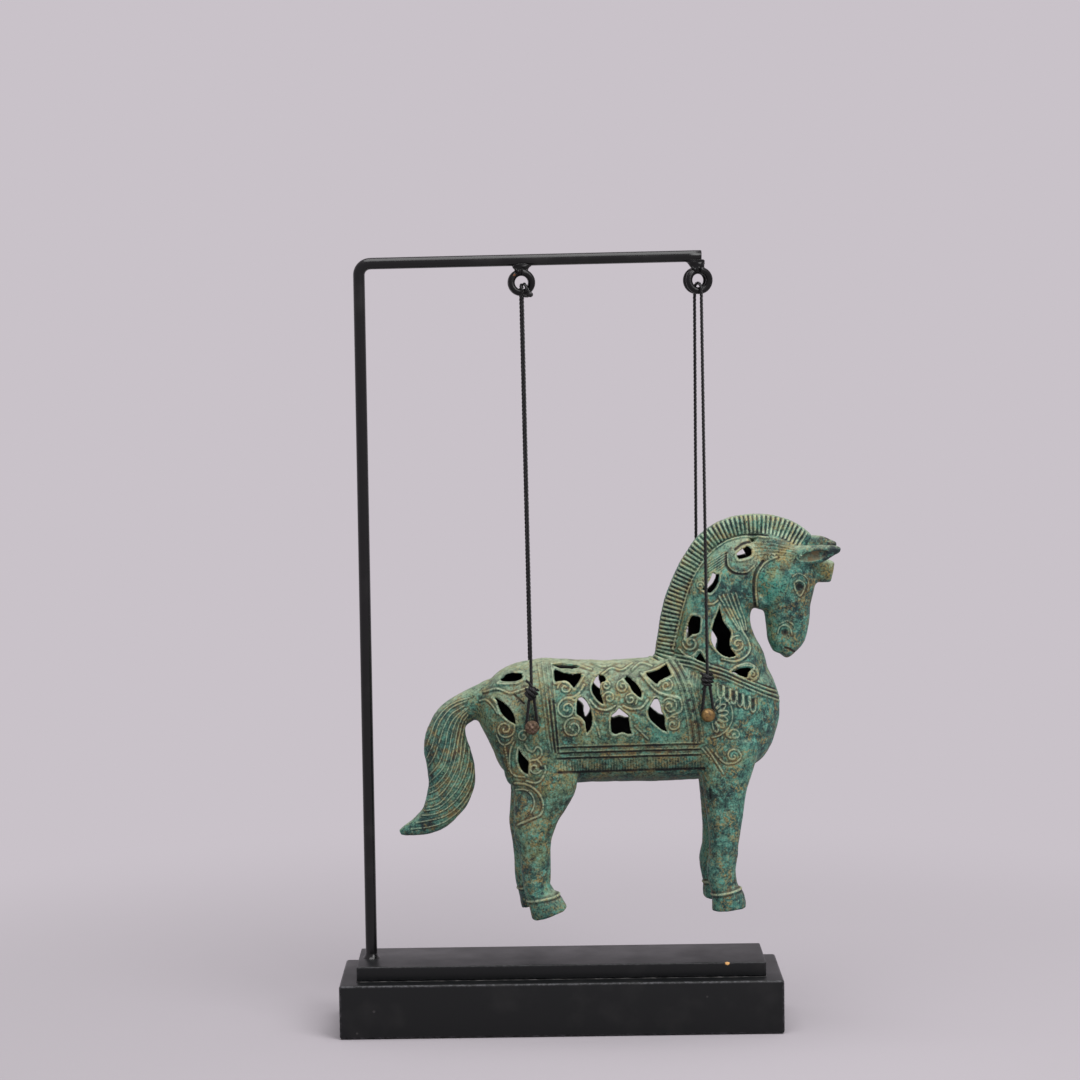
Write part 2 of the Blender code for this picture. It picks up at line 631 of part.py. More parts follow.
def build_strand(name, eye_x, drop, yaw, pin_x, pin_z, side, knot_back):
    # One taut strand from the bight to the knot, and the loop that the knot closes round the pin
    top = swing_middle(eye_x, drop)
    start = Vector(yawed((eye_x, side * BIGHT_REACH, top[2] - BIGHT_LEG - BIGHT_GAP), top, yaw))
    knot = Vector((pin_x - knot_back, side * CORD_LANE, pin_z + KNOT_ABOVE_PIN))
    strand = tube(name, [start, knot], CORD_RADIUS)
    reach = PIN_DIAMETER / 2 + 2 * FIT + CORD_RADIUS
    loop = [knot + Vector((-LOOP_SPLIT, 0, 0))]
    for step in range(11):
        angle = math.radians(170 + 200 * step / 10)
        loop.append(
            Vector((pin_x + reach * math.cos(angle), side * CORD_LANE, pin_z + reach * math.sin(angle)))
        )
    loop.append(knot + Vector((LOOP_SPLIT, 0, 0)))
    build = bmesh.new()
    bmesh.ops.create_uvsphere(build, u_segments=14, v_segments=9, radius=0.5)
    bmesh.ops.scale(build, vec=(KNOT_WIDTH, KNOT_WIDTH * KNOT_FLATNESS, KNOT_HEIGHT), verts=build.verts)
    bmesh.ops.translate(build, vec=knot, verts=build.verts)
    cord = add_object(name, strand, CORD, at=top)
    for label, mesh in (
        ("knot", to_mesh(build, f"{name}_knot")),
        ("loop", tube(f"{name}_loop", loop, CORD_RADIUS)),
    ):
        boolean(cord, add_object(f"{name}_{label}", mesh, cutter=True), "UNION")


def build_pin(name, x, z, ball_side):
    # A through pin: a ball head on one side, the other end peened over to a low dome
    shank, head = PIN_DIAMETER / 2, PIN_HEAD_DIAMETER / 2
    profile = [(0, -PIN_HEAD_REACH - PEEN_HEIGHT)]
    for step in range(1, 6):
        angle = math.radians(90 * step / 5)
        profile.append((head * math.sin(angle), -PIN_HEAD_REACH - PEEN_HEIGHT * math.cos(angle)))
    profile += [(shank, -PIN_HEAD_REACH), (shank, PIN_HEAD_REACH)]
    seat = math.asin(shank / head)
    middle = PIN_HEAD_REACH + head * math.cos(seat)
    for step in range(1, 11):
        angle = seat + (math.pi - seat) * step / 10
        profile.append((head * math.sin(angle) if step < 10 else 0.0, middle - head * math.cos(angle)))
    profile = [(radius, y * ball_side) for radius, y in profile]
    if ball_side < 0:
        profile.reverse()
    pin = turned(name, profile, 16, axis_y=True, middle=(x, 0, z))
    add_object(name, pin, BRONZE, at=(x, 0, z))


def set_back(stations, low, high):
    # The stations moved back in x, by low at the first one and high at the last
    last = len(stations) - 1
    return [(row[0] - low - (high - low) * at / last, *row[1:]) for at, row in enumerate(stations)]


def ear_hollow(name, side):
    x, z, y = EAR_HOLLOW
    build = bmesh.new()
    bmesh.ops.create_uvsphere(build, u_segments=16, v_segments=10, radius=0.5)
    bmesh.ops.scale(build, vec=EAR_HOLLOW_SIZE, verts=build.verts)
    turn = Matrix.Rotation(side * EAR_SPLAY, 3, "Z") @ Matrix.Rotation(-EAR_LEAN, 3, "Y")
    bmesh.ops.rotate(build, cent=(0, 0, 0), matrix=turn, verts=build.verts)
    bmesh.ops.translate(build, vec=(x + HORSE_SHIFT, side * y, z), verts=build.verts)
    return to_mesh(build, name)


def side_piercing(name, side):
    # The cutter for one side's openings, which stops short of the middle
    build = bmesh.new()
    body_shift, neck_shift = (FAR_BODY_SHIFT, FAR_NECK_SHIFT) if side > 0 else ((0, 0), (0, 0))
    for openings, place, shift in (
        (BODY_OPENINGS, BODY_PLACE, body_shift),
        (POLL_OPENINGS, NECK_PLACE, (0, 0)),
        (NECK_OPENINGS, NECK_PLACE, neck_shift),
    ):
        for outline in openings:
            places = [(x, side * WEB / 2, z) for x, z in drawn(outline, place, shift)]
            prism(build, places, (0, side * SIDE_REACH, 0))
    return to_mesh(build, name)


def back_slot(name, side):
    build = bmesh.new()
    places = [(x, side * y, BACK_SLOT_FLOOR) for x, y in BACK_SLOT]
    prism(build, places, (0, 0, BACK_SLOT_TOP - BACK_SLOT_FLOOR))
    return to_mesh(build, name)


def build_horse():
    # The casting: lofted body, neck, head, crest, tail and legs fused into one skin, hollowed and pierced
    middle = (FRONT_PIN_X, 0, FRONT_PIN_Z)
    build = bmesh.new()
    for stations in (TRUNK, NECK, HEAD, TAIL, FORELOCK):
        loft(build, stations)
    loft(build, CREST, squareness=2.6)
    core_build = bmesh.new()
    for stations in (TRUNK, [*NECK[:-1], HOLLOW_NECK_END]):
        loft(core_build, stations, shrink=WALL)
    for side in (-1, 1):
        loft(build, EAR, side)
        for leg, hoof, stagger in ((HIND_LEG, HIND_HOOF, HIND_STAGGER), (FORELEG, FORE_HOOF, FORE_STAGGER)):
            if side > 0:
                leg, hoof = set_back(leg, 0.0, stagger), set_back(hoof, stagger, stagger)
            loft(build, leg, side, squareness=2.0)
            loft(build, hoof, side, squareness=2.2)
            loft(core_build, leg[:HOLLOW_LEG_STATIONS], side, shrink=LEG_WALL, squareness=2.0)
    horse = add_object("horse_casting", to_mesh(build, "horse_casting"), VERDIGRIS, at=middle)
    skin(horse, CASTING_GRAIN, CASTING_ROUNDS, CASTING_SHARE)
    core = add_object("horse_core", to_mesh(core_build, "horse_core"), at=middle, cutter=True)
    skin(core, CORE_GRAIN, CORE_ROUNDS, CORE_SHARE)
    boolean(horse, core, "DIFFERENCE")
    for label, side in (("near", -1), ("far", 1)):
        for cut in (side_piercing, back_slot, ear_hollow):
            name = f"{label}_{cut.__name__}"
            boolean(horse, add_object(name, cut(name, side), at=middle, cutter=True), "DIFFERENCE")
    for label, x, z in (("front", FRONT_PIN_X, FRONT_PIN_Z), ("rear", REAR_PIN_X, REAR_PIN_Z)):
        bore = [(0, -SIDE_REACH), (PIN_DIAMETER / 2 + FIT, -SIDE_REACH)]
        bore += [(PIN_DIAMETER / 2 + FIT, SIDE_REACH), (0, SIDE_REACH)]
        hole = turned(f"{label}_pin_hole", bore, 16, axis_y=True, middle=(x, 0, z))
        boolean(horse, add_object(f"{label}_pin_hole", hole, cutter=True), "DIFFERENCE")


build_base()
build_bar()
for end, eye_x, drop, yaw, pin_x, pin_z, far_back, ball_side in (
    ("front", FRONT_EYE_X, FRONT_EYE_DROP, FRONT_EYE_YAW, FRONT_PIN_X, FRONT_PIN_Z, FRONT_FAR_KNOT_BACK, -1),
    ("rear", REAR_EYE_X, REAR_EYE_DROP, REAR_EYE_YAW, REAR_PIN_X, REAR_PIN_Z, REAR_FAR_KNOT_BACK, 1),
):
    build_eye(f"{end}_eye", eye_x, drop, yaw)
    build_hitch(f"{end}_hitch", eye_x, drop, yaw)
    for side_name, side, back in (("near", -1, 0.0), ("far", 1, far_back)):
        build_strand(f"{end}_cord_{side_name}", eye_x, drop, yaw, pin_x, pin_z, side, back)
    build_pin(f"{end}_pin", pin_x, pin_z, ball_side)
build_horse()
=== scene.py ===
import math

import bmesh
import bpy
import numpy as np
from mathutils import Euler, Matrix, Vector, noise
from mathutils.bvhtree import BVHTree
from mathutils.kdtree import KDTree


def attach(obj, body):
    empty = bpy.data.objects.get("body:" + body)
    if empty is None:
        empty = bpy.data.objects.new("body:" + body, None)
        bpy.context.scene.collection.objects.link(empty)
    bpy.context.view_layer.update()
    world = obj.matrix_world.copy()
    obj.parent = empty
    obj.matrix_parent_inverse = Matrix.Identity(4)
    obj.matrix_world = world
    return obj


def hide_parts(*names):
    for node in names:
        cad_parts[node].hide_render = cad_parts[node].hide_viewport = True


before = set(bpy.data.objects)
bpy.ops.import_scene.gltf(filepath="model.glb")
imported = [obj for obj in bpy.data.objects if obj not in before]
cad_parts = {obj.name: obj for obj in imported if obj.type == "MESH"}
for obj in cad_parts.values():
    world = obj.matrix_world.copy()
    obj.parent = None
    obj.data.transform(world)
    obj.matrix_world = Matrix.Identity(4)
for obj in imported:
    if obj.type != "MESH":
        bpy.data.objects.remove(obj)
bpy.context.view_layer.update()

mm = 0.001


def toLinear(code):  # sRGB hex to linear colour
    parts = [int(code[i:i + 2], 16) / 255 for i in (1, 3, 5)]
    return (*[p / 12.92 if p <= 0.04045 else ((p + 0.055) / 1.055) ** 2.4 for p in parts], 1.0)


def addNode(tree, kind, settings=None, links=None):
    node = tree.nodes.new(f"ShaderNode{kind}")
    for key, value in (settings or {}).items():
        if key == "stops":
            ramp = node.color_ramp
            while len(ramp.elements) < len(value):
                ramp.elements.new(0.5)
            for element, (place, code) in zip(ramp.elements, value):
                element.position = place
                element.color = toLinear(code)
        elif isinstance(key, int) or key in node.inputs:
            node.inputs[key].default_value = value
        else:
            setattr(node, key, value)
    for key, socket in (links or {}).items():
        tree.links.new(socket, node.inputs[key])
    return node


def newMaterial(name):
    made = bpy.data.materials.new(name)
    made.use_nodes = True
    tree = made.node_tree
    return made, tree, tree.nodes["Principled BSDF"]


def meeting(masks):  # where all masks meet; a mask is a value, its start, where it is full, its strength
    tree = masks[0][0].id_data
    found = None
    for value, start, full, *strength in masks:
        limits = {"From Min": start, "From Max": full, "To Max": strength[0] if strength else 1.0}
        mask = addNode(tree, "MapRange", limits, {"Value": value}).outputs[0]
        if found:
            mask = addNode(tree, "Math", {"operation": "MULTIPLY"}, {0: found, 1: mask}).outputs[0]
        found = mask
    return found


def coat(under, code, masks):  # a colour laid over what is there
    colour = {"data_type": "RGBA", 7: toLinear(code)}
    return addNode(under.id_data, "Mix", colour, {0: meeting(masks), 6: under}).outputs[2]


def spotted(layer, place, grain, spots, ragged, start, full):
    # spots with broken edges: place in mm, radius, colour, strength; the rest are shares of the radius
    tree = place.id_data
    for spot, size, code, strength in spots:
        middle = {"operation": "DISTANCE", 1: tuple(c * mm for c in spot)}
        off = addNode(tree, "VectorMath", middle, {0: place}).outputs["Value"]
        broken = {"operation": "MULTIPLY_ADD", 1: ragged * size * mm}
        edge = addNode(tree, "Math", broken, {0: grain, 2: off}).outputs[0]
        layer = coat(layer, code, [(edge, start * size * mm, full * size * mm, strength)])
    return layer


def dress(shader, tone, cloud, gloss, bump=None):
    # gloss: one roughness, or a range of the cloud and the roughness at both ends
    # bump: height, strength and depth in mm
    tree = tone.id_data
    tree.links.new(tone, shader.inputs["Base Color"])
    if isinstance(gloss, tuple):
        limits = dict(zip(("From Min", "From Max", "To Min", "To Max"), gloss))
        rough = addNode(tree, "MapRange", limits, {"Value": cloud})
        tree.links.new(rough.outputs[0], shader.inputs["Roughness"])
    else:
        shader.inputs["Roughness"].default_value = gloss
    if bump:
        height, strength, depth = bump
        relief = addNode(tree, "Bump", {"Strength": strength, "Distance": depth * mm}, {"Height": height})
        tree.links.new(relief.outputs["Normal"], shader.inputs["Normal"])


def clouded(name, size, detail, stops, gloss, grit=0.5, metallic=0.0, specular=0.5, bump=None):
    # a finish whose tone, bump and gloss follow one noise with spots of about size mm
    made, tree, shader = newMaterial(name)
    place = addNode(tree, "TexCoord").outputs["Object"]
    settings = {"Scale": 1000 / size, "Detail": detail, "Roughness": grit}
    cloud = addNode(tree, "TexNoise", settings, {"Vector": place}).outputs["Fac"]
    tone = addNode(tree, "ValToRGB", {"stops": stops}, {"Fac": cloud}).outputs["Color"]
    shader.inputs["Metallic"].default_value = metallic
    shader.inputs["Specular IOR Level"].default_value = specular
    dress(shader, tone, cloud, gloss, bump and (cloud, *bump))
    return made


# camera and set: one lens axis low over the base, pale seamless paper, light from above and from the right
view = {
    "place": (-8.0, -1554.6, 384.5),  # mm
    "pitch": 4.76,                    # degrees down
    "roll": 0.79,
    "focal": 3000.0,                  # in units of a 1080 frame
    "frame": 1080.0,
    "sensor": 36.0,                   # mm
    "paper": "#c9c2c9",
    # the paper's glow is a little darker towards the camera: painted shade
    "nearPaper": "#c1bbc0",           # towards the camera
    "floor": "#b1abb1",
    "floorReach": 40.0,               # m
    "fill": "#f4f2f4",                # light from all round, not seen itself
    "fillStrength": 0.37,
    "aim": (0, 0, 0.2),               # m, where the lamps point
}
camData = bpy.data.cameras.new("camera")
camData.sensor_width = view["sensor"]
camData.lens = view["sensor"] * view["focal"] / view["frame"]
camera = bpy.data.objects.new("camera", camData)
bpy.context.scene.collection.objects.link(camera)
turnCam = Euler((math.radians(90 - view["pitch"]), 0, 0)).to_matrix() @ Matrix.Rotation(
    math.radians(-view["roll"]), 3, "Z")
camera.matrix_world = Matrix.LocRotScale(Vector(view["place"]) * mm, turnCam, None)
bpy.context.scene.camera = camera
bpy.context.scene.view_settings.view_transform = "Standard"

lamps = {  # place in m, width in m, watts
    "overhead": ((0.05, -0.25, 1.55), 1.3, 21.0),
    "front": ((0.85, -0.95, 1.15), 0.8, 11.5),
}
for name, (place, width, watts) in lamps.items():
    light = bpy.data.lights.new(name, "AREA")
    light.size = width
    light.energy = watts
    lamp = bpy.data.objects.new(name, light)
    lamp.location = place
    lamp.rotation_euler = (Vector(view["aim"]) - Vector(place)).to_track_quat("-Z", "Y").to_euler()
    bpy.context.scene.collection.objects.link(lamp)


def seenDirectly(tree):  # 1 for what the camera sees, also in metal or glass
    rays = addNode(tree, "LightPath").outputs
    seen = rays["Is Camera Ray"]
    for name in ("Is Glossy Ray", "Is Transmission Ray"):
        seen = addNode(tree, "Math", {"operation": "MAXIMUM"}, {0: seen, 1: rays[name]}).outputs[0]
    return seen


world = bpy.data.worlds.new("studio")
bpy.context.scene.world = world
world.use_nodes = True
tree = world.node_tree
tree.nodes.clear()
fill, paper = (
    addNode(tree, "Background", {"Color": toLinear(code), "Strength": strength}).outputs[0]
    for code, strength in ((view["fill"], view["fillStrength"]), (view["paper"], 1.0)))
pick = addNode(tree, "MixShader", links={0: seenDirectly(tree), 1: fill, 2: paper})
addNode(tree, "OutputWorld", links={"Surface": pick.outputs[0]})

# matt background paper, seamless: a floor that fades into the backdrop's colour
floorMesh = bpy.data.meshes.new("floor")
ring = [(view["floorReach"] * math.cos(a), view["floorReach"] * math.sin(a), -0.0002)
        for a in np.linspace(0, math.tau, 65)[:-1]]
floorMesh.from_pydata(ring, [], [tuple(range(64))])
floor = bpy.data.objects.new("floor", floorMesh)
bpy.context.scene.collection.objects.link(floor)
paperMat, tree, shader = newMaterial("matt background paper")
shader.inputs["Base Color"].default_value = toLinear(view["floor"])
shader.inputs["Roughness"].default_value = 0.9
shader.inputs["Specular IOR Level"].default_value = 0.1
place = addNode(tree, "TexCoord").outputs["Object"]
reach = addNode(tree, "VectorMath", {"operation": "LENGTH"}, {0: place}).outputs["Value"]
fade = {"interpolation_type": "SMOOTHSTEP", "From Min": 0.12, "From Max": 0.6}
far = addNode(tree, "MapRange", fade, {"Value": reach}).outputs[0]
depth = addNode(tree, "SeparateXYZ", links={0: place}).outputs["Y"]
# painted shade: the paper's glow turns darker towards the camera
nearer = meeting([(depth, 0.4, -0.3), (reach, 3.0, 0.8)])
tones = {"data_type": "RGBA", 6: toLinear(view["paper"]), 7: toLinear(view["nearPaper"])}
shade = addNode(tree, "Mix", tones, {0: nearer}).outputs[2]
glow = addNode(tree, "Emission", {"Strength": 1.0}, {"Color": shade})
blend = addNode(tree, "Math", {"operation": "MULTIPLY"}, {0: far, 1: seenDirectly(tree)}).outputs[0]
pick = addNode(tree, "MixShader", links={0: blend, 1: shader.outputs[0], 2: glow.outputs[0]})
tree.links.new(pick.outputs[0], tree.nodes["Material Output"].inputs["Surface"])
floorMesh.materials.append(paperMat)
print("set and camera ready")


# mesh helpers: every shape is gathered as points (mm) and faces
def newShape():
    return {"points": [], "faces": [], "count": 0}


def gather(shape, points, faces):
    points = np.asarray(points, float)
    shape["points"].append(points)
    shape["faces"].extend([tuple(i + shape["count"] for i in face) for face in faces])
    shape["count"] += len(points)


def toObject(name, shape, material=None, smooth=True):
    mesh = bpy.data.meshes.new(name)
    mesh.from_pydata(np.concatenate(shape["points"]) * mm, [], shape["faces"])
    mesh.validate()
    made = bpy.data.objects.new(name, mesh)
    bpy.context.scene.collection.objects.link(made)
    if material:
        mesh.materials.append(material)
    if smooth:
        mesh.shade_smooth()
    return made


def outwards(made):  # face normals point out
    build = bmesh.new()
    build.from_mesh(made.data)
    bmesh.ops.recalc_face_normals(build, faces=build.faces)
    build.to_mesh(made.data)
    build.free()
    return made


def settle(made):  # modifiers become mesh
    depsgraph = bpy.context.evaluated_depsgraph_get()
    mesh = bpy.data.meshes.new_from_object(made.evaluated_get(depsgraph))
    old = made.data
    made.modifiers.clear()
    made.data = mesh
    bpy.data.meshes.remove(old)
    return made


def smoothPath(rows, spans, closed=False):  # curve through the given rows
    rows = np.asarray(rows, float)
    if closed:
        rows = np.concatenate([rows[-1:], rows, rows[:2]])
    else:
        rows = np.concatenate([[2 * rows[0] - rows[1]], rows, [2 * rows[-1] - rows[-2]]])
    out = []
    for a, b, c, d in zip(rows, rows[1:], rows[2:], rows[3:]):
        for t in np.arange(spans) / spans:
            out.append(0.5 * (2 * b + (c - a) * t + (2 * a - 5 * b + 4 * c - d) * t ** 2
                              + (3 * b - a - 3 * c + d) * t ** 3))
    return np.array([*out, rows[-2]])


def evenly(path, step=0.8):
    path = np.asarray(path, float)
    run = np.concatenate([[0], np.cumsum(np.linalg.norm(np.diff(path, axis=0), axis=1))])
    if run[-1] < step:
        return path
    marks = np.linspace(0, run[-1], max(int(run[-1] / step), 3) + 1)
    return np.stack([np.interp(marks, run, path[:, k]) for k in range(path.shape[1])], 1)


def carriedFrames(path):  # two square directions carried along a path without twist
    along = np.gradient(path, axis=0)
    along /= np.maximum(np.linalg.norm(along, axis=1, keepdims=True), 1e-9)
    first = np.cross(along[0], (0.13, 0.21, 0.97) if abs(along[0][2]) < 0.8 else (0.11, 0.97, 0.2))
    sides = []
    for direction in along:
        first = first - direction * np.dot(first, direction)
        first = first / np.linalg.norm(first)
        sides.append(first)
    sides = np.array(sides)
    return sides, np.cross(along, sides)


def ringFaces(rows, corners):  # faces between rings of points, and a cap at both ends
    faces = [(i * corners + k, i * corners + n, (i + 1) * corners + n, (i + 1) * corners + k)
             for i in range(rows - 1) for k, n in enumerate([*range(1, corners), 0])]
    last = (rows - 1) * corners
    return [*faces, tuple(range(corners))[::-1], tuple(range(last, last + corners))]


def sweep(shape, path, radius, corners=8):  # round wire along a path; radius may vary
    path = np.asarray(path, float)
    radius = np.broadcast_to(np.asarray(radius, float), len(path))
    one, two = carriedFrames(path)
    angle = np.arange(corners) * math.tau / corners
    rings = path[:, None] + radius[:, None, None] * (
        np.cos(angle)[None, :, None] * one[:, None] + np.sin(angle)[None, :, None] * two[:, None])
    gather(shape, rings.reshape(-1, 3), ringFaces(len(path), corners))


def turnProfile(shape, profile, corners, middle, axis="Z"):  # radius and height rows spun round an axis
    angle = np.arange(corners) * math.tau / corners
    points = np.concatenate([
        np.stack([np.cos(angle) * radius, np.sin(angle) * radius, np.full(corners, height)], 1)
        for radius, height in profile])
    if axis == "Y":
        points = points[:, (0, 2, 1)] * (1, 1, -1)
    gather(shape, points + np.asarray(middle), ringFaces(len(profile), corners))


def ball(shape, middle, radii, turn=None, rows=12, corners=18):  # stretched ball
    points = [(0, 0, -1)]
    for i in range(1, rows):
        low = math.pi * i / rows
        points += [(math.sin(low) * math.cos(a), math.sin(low) * math.sin(a), -math.cos(low))
                   for a in np.arange(corners) * math.tau / corners]
    points.append((0, 0, 1))
    points = np.array(points) * radii
    if turn is not None:
        points = points @ np.array(turn).T
    faces = [(0, 1 + (k + 1) % corners, 1 + k) for k in range(corners)]
    faces += [tuple(i + 1 for i in face) for face in ringFaces(rows - 1, corners)[:-2]]
    last = 1 + (rows - 2) * corners
    faces += [(last + k, last + (k + 1) % corners, len(points) - 1) for k in range(corners)]
    gather(shape, points + np.asarray(middle), faces)


def readOut(mesh, key):  # a vector of every vertex
    flat = np.empty(len(mesh.vertices) * 3)
    mesh.vertices.foreach_get(key, flat)
    return flat.reshape(-1, 3)


def treeOf(mesh):
    points = readOut(mesh, "co") / mm
    return BVHTree.FromPolygons(points.tolist(), [tuple(p.vertices) for p in mesh.polygons])


